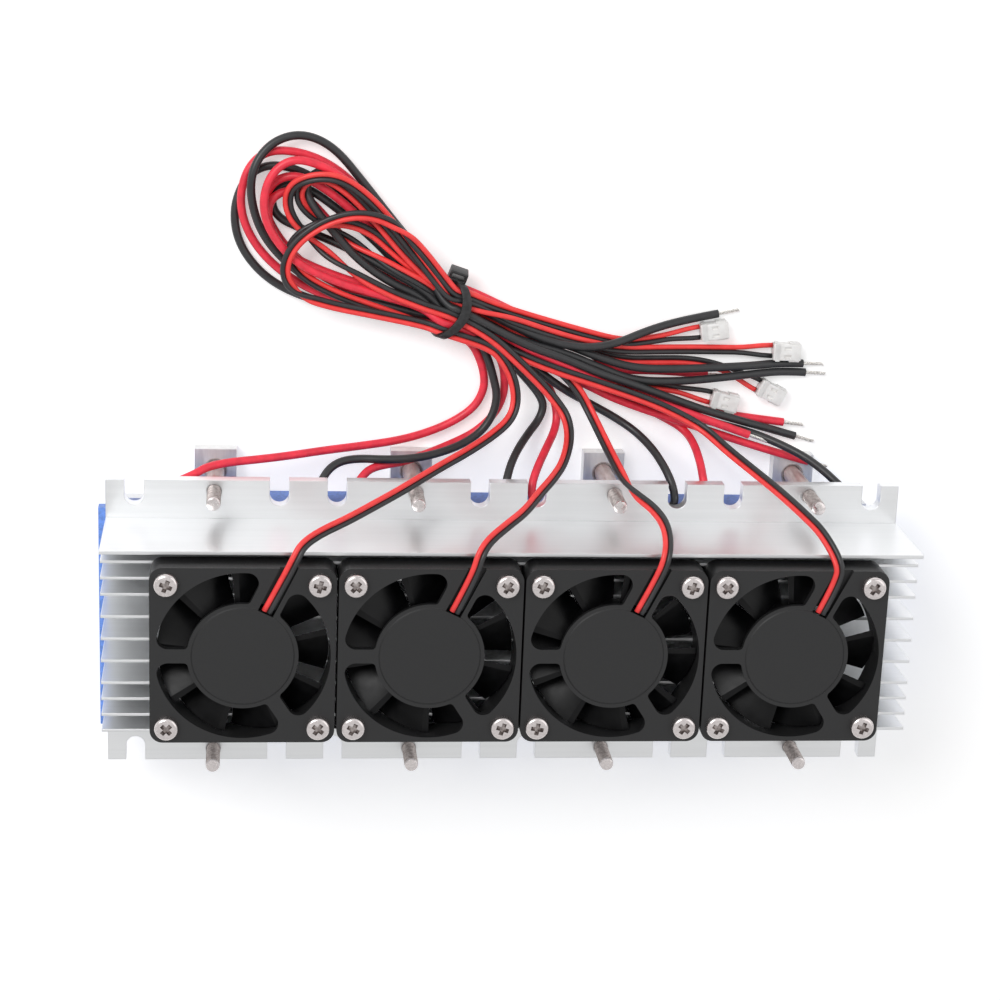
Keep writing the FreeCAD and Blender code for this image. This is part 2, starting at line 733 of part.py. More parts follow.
def lead_channel(name, x, y):
    """The groove for the fan's twin lead: from the motor plate's edge along the wide strut and out."""
    angle = length("lead_strut_angle")
    width = 2 * size["fan_wire_d"] + size["fan_wire_d"]
    turn = math.radians(angle)
    start = size["motor_r"] - size["fan_wire_d"]
    item = doc.addObject("Part::Box", name)
    bind(item, Length=size["fan_side"] / 2, Width=width, Height=size["motor_thick"])
    item.Placement.Rotation = FreeCAD.Rotation(FreeCAD.Vector(0, 0, 1), angle)
    half = width / 2
    return place(item, x + start * math.cos(turn) + half * math.sin(turn),
                 y + start * math.sin(turn) - half * math.cos(turn),
                 fan_top - size["motor_thick"])


def rotor_low():
    return length("fan_thick") * 0 + fin_top.value + length("rotor_gap")


def blade_section(radius, angle, thick, low, high):
    """A thin four-sided section of a blade, square to the radius, tilted by angle."""
    tilt = math.radians(angle)
    half_run = (high - low) / 2 / math.tan(tilt)
    half_cut = thick / 2 / math.sin(tilt)
    corners = [(-half_run - half_cut, low), (-half_run + half_cut, low),
               (half_run + half_cut, high), (half_run - half_cut, high)]
    points = [FreeCAD.Vector(radius, a, b) for a, b in corners]
    return Part.makePolygon(points + points[:1])


def make_impeller(index):
    """The rotor: a cup-shaped hub with its magnet ring, and twisted blades round it."""
    low = rotor_low()
    high = fan_top.value - length("strut_thick") - length("rotor_gap")
    hub_r, wall = length("hub_r"), length("hub_wall")
    tip_r = length("duct_r") - length("blade_tip_gap")
    up = FreeCAD.Vector(0, 0, 1)
    cup = Part.makeCylinder(hub_r, high - low, FreeCAD.Vector(0, 0, low), up)
    room = Part.makeCylinder(hub_r - wall, high, FreeCAD.Vector(0, 0, low + length("hub_floor")), up)
    bore = Part.makeCylinder(length("shaft_r") + length("seat_gap"), high,
                             FreeCAD.Vector(0, 0, low), up)
    blade = Part.makeLoft([
        blade_section(hub_r - wall / 2, length("blade_root_angle"), length("blade_thick"), low, high),
        blade_section(tip_r, length("blade_tip_angle"), length("blade_thick"), low, high)],
        True, True)
    reach = Part.makeCylinder(tip_r, high - low, FreeCAD.Vector(0, 0, low), up)
    blade = blade.common(reach)
    count = int(length("blade_count"))
    start = 360.0 / count * index / 3
    blades = []
    for k in range(count):
        copy = blade.copy()
        copy.rotate(FreeCAD.Vector(0, 0, 0), up, start + 360.0 / count * k)
        blades.append(copy)
    shape = cup.fuse(blades).cut(room).cut(bore).removeSplitter()
    item = made("fan_impeller_%d" % (index + 1), shape)
    place(item, fan_x(index), size["fan_row"], 0)


def make_fan_core(index):
    """What is inside a fan: the shaft, its bearing, the stator and the circuit board."""
    number = index + 1
    x, y = fan_x(index), size["fan_row"]
    low = fin_top + size["rotor_gap"]
    seat_high = fan_top - size["motor_thick"]
    shaft = cylinder("fan_shaft_%d" % number, x, y, low, size["shaft_r"],
                     seat_high - low - size["rotor_gap"])
    node(shaft, "fan_shaft_%d" % number)
    bearing_low = seat_high - size["bearing_length"]
    sleeve = cylinder("bearing_%d_outside" % number, x, y, bearing_low, size["bearing_r"],
                      size["bearing_length"])
    bore = cylinder("bearing_%d_bore" % number, x, y, bearing_low,
                    size["shaft_r"] + size["running_gap"], size["bearing_length"])
    node(cut("fan_bearing_%d" % number, sleeve, [bore]), "fan_bearing_%d" % number)

    board_low = fan_top - size["strut_thick"] - size["rotor_gap"] - size["board_thick"]
    ring_r = size["post_r"] + size["seat_gap"]
    board = cylinder("board_%d_disc" % number, x, y, board_low, size["board_r"],
                     size["board_thick"])
    board_hole = cylinder("board_%d_hole" % number, x, y, board_low, ring_r,
                          size["board_thick"])
    node(cut("fan_board_%d" % number, board, [board_hole]), "fan_board_%d" % number)

    core_low = board_low - size["core_thick"] - size["seat_gap"]
    core = cylinder("core_%d_disc" % number, x, y, core_low, size["core_r"],
                    size["core_thick"])
    tools = [cylinder("core_%d_hole" % number, x, y, core_low, ring_r, size["core_thick"])]
    middle = (size["core_r"] + size["post_r"]) / 2 + size["pole_gap"]
    for k, (a, b) in enumerate([(1, 0), (0, 1), (-1, 0), (0, -1)], 1):
        tools.append(box("core_%d_gap_%d" % (number, k), x + a * middle, y + b * middle,
                         core_low, size["pole_gap"] + abs(a) * size["core_r"] / 2,
                         size["pole_gap"] + abs(b) * size["core_r"] / 2, size["core_thick"]))
    node(cut("fan_stator_%d" % number, core, tools), "fan_stator_%d" % number)


# Leads. Each route is a list of points chosen by hand, joined by tangent arcs.

# From the chip's channel in the gasket, round the flange's edge and down to the tied bundle
CHIP_ROUTES = {
    ("red", 1): [(-89.4, 42.4, 19.6), (-77, 44.4, 14.6), (-64, 45, 9.6),
                 (-51, 45.8, 5.8), (-37.5, 47, 3), (-24, 50, 1.3), (-12.5, 56.5, 1.3),
                 (-6.4, 64, 1.3), (-6.2, 71.5, 1.6), (-12, 78.5, 3)],
    ("black", 1): [(-56, 40.6, 20.4), (-45.5, 44.2, 16.4),
                   (-33.5, 45, 11.4), (-20.5, 45.6, 7.6), (-9.3, 49, 5.2), (-3.4, 55.5, 4.6),
                   (-1.4, 62.5, 4.4), (-2.8, 69.7, 3), (-7.5, 76, 3)],
    ("red", 2): [(-39.2, 42.4, 19.2), (-29.5, 45.6, 14.6),
                 (-18.5, 48.6, 9), (-8.4, 52.4, 2.7), (-0.6, 58.2, 1.3), (2.2, 65.4, 1.3),
                 (1, 72, 2), (-3, 78, 3)],
    ("black", 2): [(-3.6, 40.8, 20.4), (2, 45.8, 14.8), (6.8, 50.8, 7.4),
                   (12, 55.8, 2.6), (13.4, 61.4, 1.3), (9.4, 67, 2), (3, 71.6, 3)],
    ("red", 3): [(10.2, 44, 14.6), (13.4, 50, 6.6), (18, 55.6, 2.2),
                 (17.4, 61.8, 1.8), (12, 67, 3)],
    ("black", 3): [(46.6, 43.4, 14.6), (43, 49.4, 6.4), (35.6, 54, 1.8),
                   (26.4, 58.2, 1.6), (18, 63, 3)],
    ("red", 4): [(59.6, 41, 20), (56.4, 46.6, 13.6), (53, 51.6, 5.6),
                 (47.4, 54.8, 1.6), (39, 58.4, 1.8)],
    ("black", 4): [(96.8, 42.6, 18), (90.4, 46.2, 11.4), (82, 49, 3.6),
                   (73, 51.2, 1.3), (63, 53.4, 1.3), (52.4, 56.2, 1.3), (42, 59.6, 1.4)],
}

# From the fan's motor plate, over the shelf plate and the flange, down to the tied bundle
FAN_ROUTES = [
    [(-60.2, 33, 63.45), (-51, 38.6, 53.6), (-39, 42.6, 42), (-25, 46.4, 31),
     (-11, 50, 19.4), (0, 54.6, 10.6), (5.6, 61.4, 7.4), (4.6, 69.6, 5.2), (-1, 75.6, 5)],
    [(-9.6, 33, 63.45), (-3, 39.4, 53), (6.4, 44, 42), (15, 49.2, 29),
     (20.6, 55, 15.6), (22, 62, 7.2), (17.6, 69, 5)],
    [(40.4, 33, 63.45), (40.2, 39.6, 53), (35, 46, 42), (30.6, 51.6, 29),
     (28, 57.6, 15.6), (24.6, 64, 7.2), (19.4, 70, 5)],
    [(91.2, 33, 63.45), (86.4, 39.6, 53), (78.6, 44.6, 42), (70.6, 49.4, 29.6),
     (63, 53.4, 17.6), (54.6, 57.4, 10.4), (43, 62, 8.4)],
]

# From the tied bundle to the free end
CHIP_TAILS = {
    ("black", 1): [(31, 77.8, 5), (41, 81.6, 3), (51, 84.2, 1.3), (62.2, 86.4, 1.3)],
    ("black", 2): [(38, 71, 5.4), (50, 71, 6), (62, 71.4, 5.4), (73, 71.9, 4.6),
                   (81.4, 72, 1.4), (88.4, 71.9, 1.3)],
    ("black", 3): [(38, 67, 5.4), (51, 67, 6), (63, 68.2, 5.6), (74, 69.4, 4.6),
                   (82.4, 69.5, 1.4), (89.3, 69.2, 1.3)],
    ("black", 4): [(38, 65.8, 5), (51, 61, 4.7), (61, 57.5, 4.3), (74, 53.9, 3.7),
                   (84.5, 50.6, 1.5), (87.6, 49.7, 1.3)],
    ("red", 1): [(34, 69, 2.4), (44, 69, 1.3), (55, 68.4, 1.3)],
    ("red", 2): [(36, 64.2, 1.6), (46.4, 61.3, 1.3), (57, 57.9, 1.3), (69, 55.7, 1.3),
                 (83.8, 54, 1.3)],
    ("red", 3): [(37, 62.6, 4.6), (50, 58.6, 4), (61.6, 54.7, 4), (73.1, 50.8, 4.5)],
    ("red", 4): [(40, 59.2, 4.5), (55, 54.2, 4.2), (69, 49.6, 4.8), (81.5, 46, 6.2),
                 (91, 43.4, 6.3)],
}

# From the tied bundle to the plug
FAN_TAILS = [
    [(34, 77.4, 3), (43, 78.4, 1.8), (50, 79.8, 1.6), (57, 80.9, 1.6)],
    [(34, 75.4, 3), (46, 75.6, 1.8), (60, 75.8, 1.6), (78.8, 75.7, 1.6)],
    [(34, 72.2, 2.6), (44, 72.3, 1.8), (54.6, 72.4, 1.6), (64, 70.6, 1.6), (71, 67.4, 1.6),
     (75.4, 65.2, 1.6)],
    [(38, 65.4, 2), (47.6, 64.4, 1.6), (55, 62.9, 1.6), (61.4, 61.4, 1.6)],
]

# The outline of the tied leads: a loop that narrows to the tie, then spreads again
BUNDLE_CORNERS = [(44.5, 54.6), (44.5, 80.8), (20, 79.6), (-6, 86.6), (-13.4, 93.4),
                  (-32, 117), (-50, 131), (-63, 136.5), (-75, 129), (-79.5, 113), (-74, 98),
                  (-62, 89.5), (-42, 84), (-18.6, 78.4), (-10, 73), (14, 62)]
TIE_MIDDLE = (-16.4, 87.2)
TIE_ANGLE = 255


def tangent_path(points, name, diameter):
    """Straight runs joined by tangent arcs, as large as the runs allow."""
    points = [FreeCAD.Vector(*point) for point in points]
    edges, radii = [], []
    last = points[0]
    for before, corner, after in zip(points, points[1:], points[2:]):
        inward, outward = corner - before, after - corner
        run = min(inward.Length, outward.Length)
        half_turn = inward.getAngle(outward) / 2
        radius = 0.45 * run / math.tan(half_turn)
        radii.append(radius)
        inward.normalize()
        outward.normalize()
        start = corner - inward * (0.45 * run)
        end = corner + outward * (0.45 * run)
        middle = outward - inward
        middle.normalize()
        middle = corner + middle * (radius / math.cos(half_turn) - radius)
        edges.append(Part.LineSegment(last, start).toShape())
        edges.append(Part.Arc(start, middle, end).toShape())
        last = end
    edges.append(Part.LineSegment(last, points[-1]).toShape())
    if radii:
        print("%s: tightest arc %.1f mm, %.1f diameters"
              % (name, min(radii), min(radii) / diameter))
    return Part.Wire(edges)


def tube(points, name, diameter):
    """A round tube along the route, checked against its section times its length."""
    path = tangent_path(points, name, diameter)
    start = FreeCAD.Vector(*points[0])
    along = FreeCAD.Vector(*points[1]) - start
    ring = Part.Wire(Part.makeCircle(diameter / 2, start, along))
    solid = path.makePipeShell([ring], True, False)
    wanted = math.pi * diameter ** 2 / 4 * path.Length
    if abs(solid.Volume / wanted - 1) > 0.01:
        raise RuntimeError("%s has %.1f mm3 for %.1f" % (name, solid.Volume, wanted))
    print("%s: %.0f mm long" % (name, path.Length))
    return solid


def chip_start(colour, number):
    """A chip lead's straight start: from the chip's edge through the gasket's channel."""
    hand = -1 if colour == "red" else 1
    x = (cell_x(number - 1) + hand * size["chip_lead_offset"]).value
    return [(x, y, lead_level.value)
            for y in (length("chip_side") / 2, length("chip_lead_turn"))]


def fan_start(index):
    """Where a fan's lead leaves its motor plate, in the strut's channel."""
    turn = math.radians(length("lead_strut_angle"))
    reach = length("motor_r") - length("fan_wire_d") / 2
    level = fan_top.value - length("motor_thick") + length("fan_wire_d") + length("seat_gap")
    return [(fan_x(index).value + reach * math.cos(turn),
             length("fan_row") + reach * math.sin(turn), level)]


def tie_box(extra):
    """The block inside the cable tie's strap, or with extra its outside."""
    low, high = length("bundle_low") + length("tie_thick"), length("bundle_high") - length("tie_thick")
    width = length("neck_width")
    block = Part.makeBox(width + 2 * extra, length("tie_width"), high - low + 2 * extra,
                         FreeCAD.Vector(-width / 2 - extra, -length("tie_width") / 2, low - extra))
    return to_tie(block)


def to_tie(shape):
    shape.rotate(FreeCAD.Vector(0, 0, 0), FreeCAD.Vector(0, 0, 1), TIE_ANGLE)
    shape.translate(FreeCAD.Vector(TIE_MIDDLE[0], TIE_MIDDLE[1], 0))
    return shape


def bundle_shape():
    """The tied leads as one closed solid, drawn in under the cable tie."""
    low, high = length("bundle_low"), length("bundle_high")
    points = [FreeCAD.Vector(x, y, low) for x, y in BUNDLE_CORNERS]
    slab = Part.Face(Part.makePolygon(points + points[:1])).extrude(FreeCAD.Vector(0, 0, high - low))
    return slab.cut(tie_box(length("tie_thick"))).fuse(tie_box(0)).removeSplitter()


def outside(shape, bundle):
    """The stretch of a lead that is not in the tied bundle."""
    rest = shape.cut(bundle)
    return max(rest.Solids, key=lambda solid: solid.Volume)


def make_leads():
    """Each lead is one node: the stretch before the tied bundle and the tail after it."""
    bundle = bundle_shape()
    made("lead_bundle", bundle)
    for (colour, number), route in CHIP_ROUTES.items():
        name = "chip_lead_%s_%d" % (colour, number)
        diameter = length("chip_lead_d")
        front = tube(chip_start(colour, number) + route, name, diameter)
        tail = tube(CHIP_TAILS[(colour, number)], name + " tail", diameter)
        made(name, Part.makeCompound([outside(front, bundle), outside(tail, bundle)]))
    for index, route in enumerate(FAN_ROUTES):
        name = "fan_lead_%d" % (index + 1)
        diameter = 2 * length("fan_wire_d")
        front = tube(fan_start(index) + route, name, diameter)
        tail = tube(FAN_TAILS[index], name + " tail", diameter)
        made(name, Part.makeCompound([outside(front, bundle), outside(tail, bundle)]))


def make_cable_tie():
    """A strap round the bundle's neck, with its square head on the outer side."""
    head = length("tie_head")
    low = (length("bundle_low") + length("bundle_high") - head) / 2
    lock = to_tie(Part.makeBox(head, head, head, FreeCAD.Vector(
        -length("neck_width") / 2 - head, -head / 2, low)))
    made("cable_tie", tie_box(length("tie_thick")).fuse(lock).cut(tie_box(0)).cut(
        bundle_shape()).removeSplitter())


def end_frame(points):
    """The end of a route and its direction there."""
    end = FreeCAD.Vector(*points[-1])
    along = end - FreeCAD.Vector(*points[-2])
    along.normalize()
    return end, along


def make_stripped_ends():
    tips = []
    for route in CHIP_TAILS.values():
        end, along = end_frame(route)
        tips.append(Part.makeCylinder(length("tip_r"), length("tip_length"), end, along))
    made("stripped_ends", Part.makeCompound(tips))


def make_plugs():
    """A two-way plug on each fan lead, lying on the surface."""
    long, wide, high = length("plug_length"), length("plug_width"), length("plug_high")
    for index, route in enumerate(FAN_TAILS):
        end, along = end_frame(route)
        shell = Part.makeBox(long, wide, high, FreeCAD.Vector(0, -wide / 2, 0))
        mouth = Part.makeBox(long / 3, wide - 2, high - 2, FreeCAD.Vector(long * 2 / 3, 1 - wide / 2, 1))
        shape = shell.cut(mouth)
        shape.rotate(FreeCAD.Vector(0, 0, 0), FreeCAD.Vector(0, 0, 1),
                     math.degrees(math.atan2(along.y, along.x)))
        shape.translate(FreeCAD.Vector(end.x, end.y, 0))
        made("fan_plug_%d" % (index + 1), shape)


# Build, check and write

def main():
    make_heat_sink()
    make_cold_plate()
    make_cold_blocks()
    make_chips()
    make_foam()
    make_clamp_bolts()
    make_bolt_sleeves()
    make_fan_screws()
    for index in cells:
        make_fan_frame(index)
        make_impeller(index)
        make_fan_core(index)
    make_leads()
    make_cable_tie()
    make_plugs()
    make_stripped_ends()
    doc.recompute()
    for item in doc.Objects:
        if "Invalid" in item.State or "Error" in item.State:
            raise RuntimeError("%s failed: %s" % (item.Label, item.State))
    for item in nodes:
        if item.Shape.isNull() or not item.Shape.isValid():
            raise RuntimeError("%s has no valid shape" % item.Label)
    os.makedirs("parts", exist_ok=True)
    for item in nodes:
        item.Shape.exportStep("parts/%s.step" % item.Label)
    print("%d sub-parts written" % len(nodes))


main()
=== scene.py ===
"""Looks for a thermoelectric cooling module: finishes, leads, plugs, tie, screws, bolts, stage."""

import math

import bpy
from mathutils import Matrix, Vector


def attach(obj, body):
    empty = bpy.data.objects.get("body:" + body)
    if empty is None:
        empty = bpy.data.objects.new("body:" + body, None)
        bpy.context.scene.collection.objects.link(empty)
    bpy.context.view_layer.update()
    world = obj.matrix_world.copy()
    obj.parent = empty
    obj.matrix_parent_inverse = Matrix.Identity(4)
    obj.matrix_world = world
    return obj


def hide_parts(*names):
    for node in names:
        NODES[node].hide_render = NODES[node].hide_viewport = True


bl_info = {
    "name": "Thermoelectric cooling module",
    "version": (1, 0, 0),
    "blender": (4, 5, 0),
    "location": "View3D > Sidebar > Cooler",
    "description": "Dresses a thermoelectric cooling module and sets its camera and studio",
    "category": "Object",
}

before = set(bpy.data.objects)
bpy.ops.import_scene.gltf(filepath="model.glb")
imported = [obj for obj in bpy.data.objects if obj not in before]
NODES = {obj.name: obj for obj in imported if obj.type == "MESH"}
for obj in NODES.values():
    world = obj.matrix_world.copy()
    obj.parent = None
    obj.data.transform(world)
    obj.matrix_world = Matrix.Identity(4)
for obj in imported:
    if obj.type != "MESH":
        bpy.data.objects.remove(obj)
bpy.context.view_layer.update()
MM = 0.001
CELLS = (1, 2, 3, 4)

# Routes of the chip leads, in millimetres: control points from the chip's edge, over the heat
# sink's flange, through the cable tie, round the loop beyond it, back through the tie and on to the
# bare end

CHIP_ROUTES = {
    "red_1": [
        (-100.9, 20, 21.4), (-100.9, 33, 21.4), (-96.5, 38.4, 21.2), (-88.5, 41.5, 19.4),
        (-85.2, 43.1, 17.4), (-79, 44, 15.5), (-71.5, 44.5, 14.3), (-62.6, 45.1, 12.3),
        (-51.9, 46, 9.1), (-41.3, 46.8, 6.7), (-31.3, 47.8, 4.6), (-22.8, 49.5, 2.5),
        (-14.4, 52.9, 1.7), (-8.4, 57.3, 1.8), (-6, 61.7, 1.9), (-5.4, 65.7, 1.9),
        (-6.7, 71.2, 2.5), (-9.8, 77.2, 3.3), (-16.2, 81.2, 5.5), (-20, 82.4, 5.5),
        (-23.7, 83.2, 4), (-37.2, 86.7, 3.1), (-50.9, 89.2, 2.4), (-63.3, 95.2, 1.9),
        (-72.5, 104.2, 1.9), (-76.6, 114.6, 3.3), (-75.2, 124.8, 3.7), (-69.7, 131, 3.2),
        (-60.3, 131, 2.3), (-50.6, 127.2, 1.5), (-41.5, 119.4, 1.4), (-32.2, 108.2, 2.4),
        (-23.1, 97.6, 4.5), (-15.7, 93.5, 4.1), (-11.7, 93.1, 4.8), (5.5, 84.7, 3),
        (17.3, 80.3, 3), (26.1, 73.3, 3.4), (34, 69.5, 3.3), (44, 69.3, 1.9), (52, 68.8, 1.6),
        (60, 68.2, 1.3)],
    "black_1": [
        (-68.9, 20, 21.4), (-68.9, 24, 21.4), (-68.2, 29, 21.4), (-65, 32.4, 21.4),
        (-60, 33.8, 21.4), (-55.6, 36.5, 21.4), (-52.9, 39.9, 20.4), (-50.9, 42.9, 18.2),
        (-47.4, 44.7, 15.7), (-42.3, 45.3, 14.8), (-35.5, 45.2, 15.3), (-28, 45.3, 15),
        (-20.2, 46, 12.3), (-12.3, 47.6, 7.9), (-6.1, 51.1, 5.3), (-2.8, 56.4, 4.8),
        (-1.9, 61.8, 4.5), (-3, 66.5, 4.1), (-4.8, 72.4, 4), (-7.7, 78.1, 4.2),
        (-14.9, 83.6, 4.2), (-18.8, 85, 4.6), (-23.5, 85.2, 5.3), (-36.5, 88.3, 4.6),
        (-50.9, 91.3, 3.6), (-61.9, 98, 3.4), (-70, 106.9, 4), (-73.5, 117.4, 5.7),
        (-73.1, 126.4, 6.4), (-68.1, 133.5, 4.8), (-59.6, 136.3, 3.6), (-50.4, 132.7, 3.3),
        (-41.5, 122.3, 4), (-32.5, 111.2, 4.7), (-22.6, 100, 5.8), (-15.2, 90.9, 6.5),
        (-11.8, 89.7, 7.2), (8.6, 79.6, 7.3), (21.3, 76.8, 7.6), (31.1, 77.8, 6.6),
        (41.1, 81.6, 4), (51, 84.2, 1.8), (62.2, 86.4, 1.3)],
    "red_2": [
        (-44.3, 20, 21.4), (-44.3, 33, 21.4), (-43.6, 38, 20.9), (-40.9, 41.5, 18.6),
        (-38.6, 42.6, 15.6), (-34.7, 43.2, 13.7), (-30.1, 43.5, 12.1), (-24.1, 44.4, 8.6),
        (-18.2, 45.9, 5.3), (-12.7, 47.6, 2.7), (-7.3, 50.2, 1.4), (-2.1, 55.3, 1.2),
        (0.3, 60.9, 1.3), (0.5, 65.6, 1.2), (-0.5, 71, 2.9), (-4.2, 77.7, 6.3),
        (-15.5, 83.3, 9.4), (-19.5, 84.2, 9.9), (-24.5, 88.2, 8), (-34.9, 90.9, 7.4),
        (-47.3, 94.3, 7.3), (-59.7, 99.5, 8.1), (-67.6, 108, 8.2), (-70.3, 116.5, 7.9),
        (-68.1, 125.2, 8.1), (-61.9, 129.9, 8.2), (-53.5, 127.9, 7.9), (-45.5, 123.1, 7.5),
        (-36.8, 114.8, 7.2), (-29.7, 106.4, 7.3), (-22.4, 97.4, 7.3), (-16.5, 90.7, 4.2),
        (-12.2, 89.7, 4.5), (5.8, 79.6, 1.8), (17.7, 73.9, 1.2), (27.6, 68, 1), (36.4, 64.2, 1.3),
        (46.6, 61.3, 1.2), (57.1, 57.9, 1.3), (69.1, 55.7, 1.3), (83.8, 54, 1.3)],
    "black_2": [
        (-12.3, 20, 21.4), (-12.3, 24, 21.4), (-11.6, 29, 21.4), (-8.6, 32.3, 21.4),
        (-4.2, 33.9, 21.3), (-0.8, 37, 21), (0.2, 41, 19.4), (1.5, 44.4, 16.2), (4, 47.5, 10.9),
        (7.5, 50.8, 5.4), (10.8, 54, 2.2), (12.2, 57.7, 1.4), (11.2, 60.8, 1.3), (8.1, 64.7, 1.2),
        (1.6, 71.6, 1.4), (-6.2, 77.7, 1.6), (-15.9, 80.7, 2.3), (-19.5, 82.4, 2.5),
        (-24.2, 82.8, 1.9), (-38.2, 85.2, 1.2), (-53.8, 87.6, 1.2), (-67.5, 93.1, 1.3),
        (-76.2, 102.6, 1.3), (-78.5, 113.3, 1.3), (-75.2, 122.9, 1.1), (-69.1, 127, 1.7),
        (-60.7, 126, 1.3), (-51.1, 120.7, 1.1), (-40.3, 111.8, 1.2), (-31, 103.6, 1.7),
        (-22.3, 95.9, 2.6), (-15.9, 93.7, 1.8), (-12.3, 92.3, 2.5), (4.6, 80.8, 4.6),
        (16.7, 77.7, 5.3), (27.8, 73.5, 5.8), (37.8, 70.7, 5.7), (49.9, 70.8, 6.3),
        (61.9, 71.3, 5.6), (73, 71.8, 4.7), (81.4, 72, 1.5), (88.4, 71.9, 1.3)],
    "red_3": [
        (12.3, 20, 21.4), (12.3, 27, 21.4), (10, 31.6, 21.4), (7.6, 35.2, 21.3),
        (7.2, 39.2, 20.6), (8.9, 43.4, 17.4), (12.2, 47.6, 10.7), (15.4, 51.4, 4.3),
        (16.3, 55.5, 1.5), (14.9, 61, 1.3), (12.8, 64.8, 1.3), (8.4, 69.6, 2.5), (1.8, 75.2, 3.7),
        (-5.1, 80.8, 3.4), (-14.3, 85.4, 3), (-18.1, 86.4, 2.3), (-23.7, 89.6, 2.4),
        (-35.5, 95.7, 2.1), (-45.2, 104, 1.5), (-51.5, 111.4, 1.1), (-57.2, 117.5, 1.5),
        (-63.4, 120.5, 3.4), (-68.8, 116.7, 4.1), (-68, 109, 3.9), (-63.3, 102.1, 3.8),
        (-53.3, 97.4, 4), (-39.3, 93, 4.5), (-23.6, 88.5, 5.1), (-17.5, 89.1, 7),
        (-14, 88.2, 8.2), (3.4, 77.6, 8.1), (15.5, 72.8, 8.3), (26.6, 67.4, 7.8),
        (36.5, 63.3, 7.2), (49.5, 59.3, 6.6), (61, 55.4, 6.6), (72.5, 51.5, 7.1)],
    "black_3": [
        (44.3, 20, 21.4), (44.3, 27, 21.4), (46.8, 31.2, 21.4), (49, 34.6, 21.5),
        (48.6, 38.2, 21.4), (47.5, 41.5, 19.8), (46, 44.5, 16.5), (43.5, 48, 10.7),
        (39.2, 51.6, 4.9), (33.2, 55.1, 2.2), (26, 58.9, 1.9), (17.6, 63.6, 4.1),
        (8.1, 70.8, 6.2), (-3, 79.3, 7.8), (-14.5, 85.3, 7.9), (-18.5, 86.4, 8.2),
        (-23.5, 92.8, 7.5), (-34.7, 98.6, 5.7), (-48, 104.9, 3.2), (-58.9, 108.8, 1.5),
        (-66.3, 112.1, 1.3), (-67.9, 117.9, 1.2), (-63.5, 121.9, 1.3), (-56.9, 120.3, 1.2),
        (-48.2, 114.2, 1.7), (-38.4, 106.1, 2.1), (-30.9, 98.4, 2.5), (-23.7, 91.9, 3.8),
        (-18.6, 86.7, 4.6), (-14.4, 86.3, 5.7), (4.7, 78.4, 7.2), (16.9, 75.4, 7.2),
        (28, 70.7, 6.3), (38, 66.9, 5.3), (51, 67, 5.8), (63, 68.2, 5.5), (74, 69.4, 4.5),
        (82.4, 69.5, 1.4), (89.3, 69.2, 1.3)],
    "red_4": [
        (68.9, 20, 21.4), (68.9, 24, 21.4), (68.2, 29, 21.4), (65.2, 32.3, 21.3),
        (61, 33.8, 21.2), (58.2, 36.9, 20.8), (57.3, 41.3, 19.2), (57, 45.3, 14.6), (56, 49.4, 7),
        (53.4, 52.2, 2.5), (48, 55, 1.4), (40, 58.9, 1.2), (30.5, 61.9, 1.3), (21.1, 65.9, 1.2),
        (12.2, 70, 1.2), (-2.8, 78.1, 1.3), (-15, 83.3, 1.9), (-19, 84.5, 2.3),
        (-24.9, 85.8, 2.8), (-37.7, 89, 2.1), (-50.9, 93.8, 1.3), (-61.4, 101.1, 1.3),
        (-67.8, 109.6, 1.4), (-70.1, 117.1, 1.8), (-66.2, 123.7, 4.4), (-58.9, 124.6, 5.2),
        (-49.7, 119, 4.6), (-39.4, 109.8, 4), (-30.1, 100.5, 3.7), (-21.9, 93.1, 2.9),
        (-17, 91.6, 2.2), (-13.4, 90, 2), (3.3, 77.3, 3.2), (15.4, 69.9, 3), (28.6, 62.7, 3.8),
        (39.8, 58.5, 4.1), (54.9, 53.8, 4), (68.9, 49.4, 4.7), (81.5, 45.9, 6.1), (91, 43.4, 6.3)],
    "black_4": [
        (100.9, 20, 21.4), (100.9, 33, 21.4), (99.6, 38.2, 21.2), (95.8, 41.5, 19.6),
        (92.7, 44, 16.9), (88, 46.8, 12.8), (80.9, 49.5, 8.2), (73.6, 51.7, 4.8),
        (62.9, 53.7, 1.7), (52.3, 56.6, 1.8), (41.9, 60.1, 3.1), (29.8, 65.1, 4.2),
        (14.8, 70.9, 5), (-2.2, 79, 5.5), (-15.3, 83.2, 6.5), (-19.3, 84.2, 7.1),
        (-24.2, 90.7, 7.4), (-33.9, 94.9, 7.2), (-43.4, 101.4, 6.9), (-50.5, 109.4, 6.1),
        (-56, 115.8, 4.7), (-58.3, 120.9, 3.4), (-55.9, 125.3, 3.1), (-50.6, 125.8, 3.6),
        (-43.4, 120.7, 4), (-36.3, 112.2, 4.4), (-29.1, 102.9, 5.3), (-22.2, 95.7, 6.6),
        (-17.8, 88.9, 9.5), (-13.8, 88, 10.5), (4.8, 78.1, 9.9), (16.8, 74.2, 9.7),
        (27.7, 69.5, 8.6), (37.7, 66.2, 7.3), (50.8, 61.4, 6.4), (60.9, 57.8, 5.4),
        (73.9, 54, 3.9), (84.5, 50.7, 1.5), (87.6, 49.8, 1.3)],
}

# The same for the fans' twin leads, from the motor plate to the plug

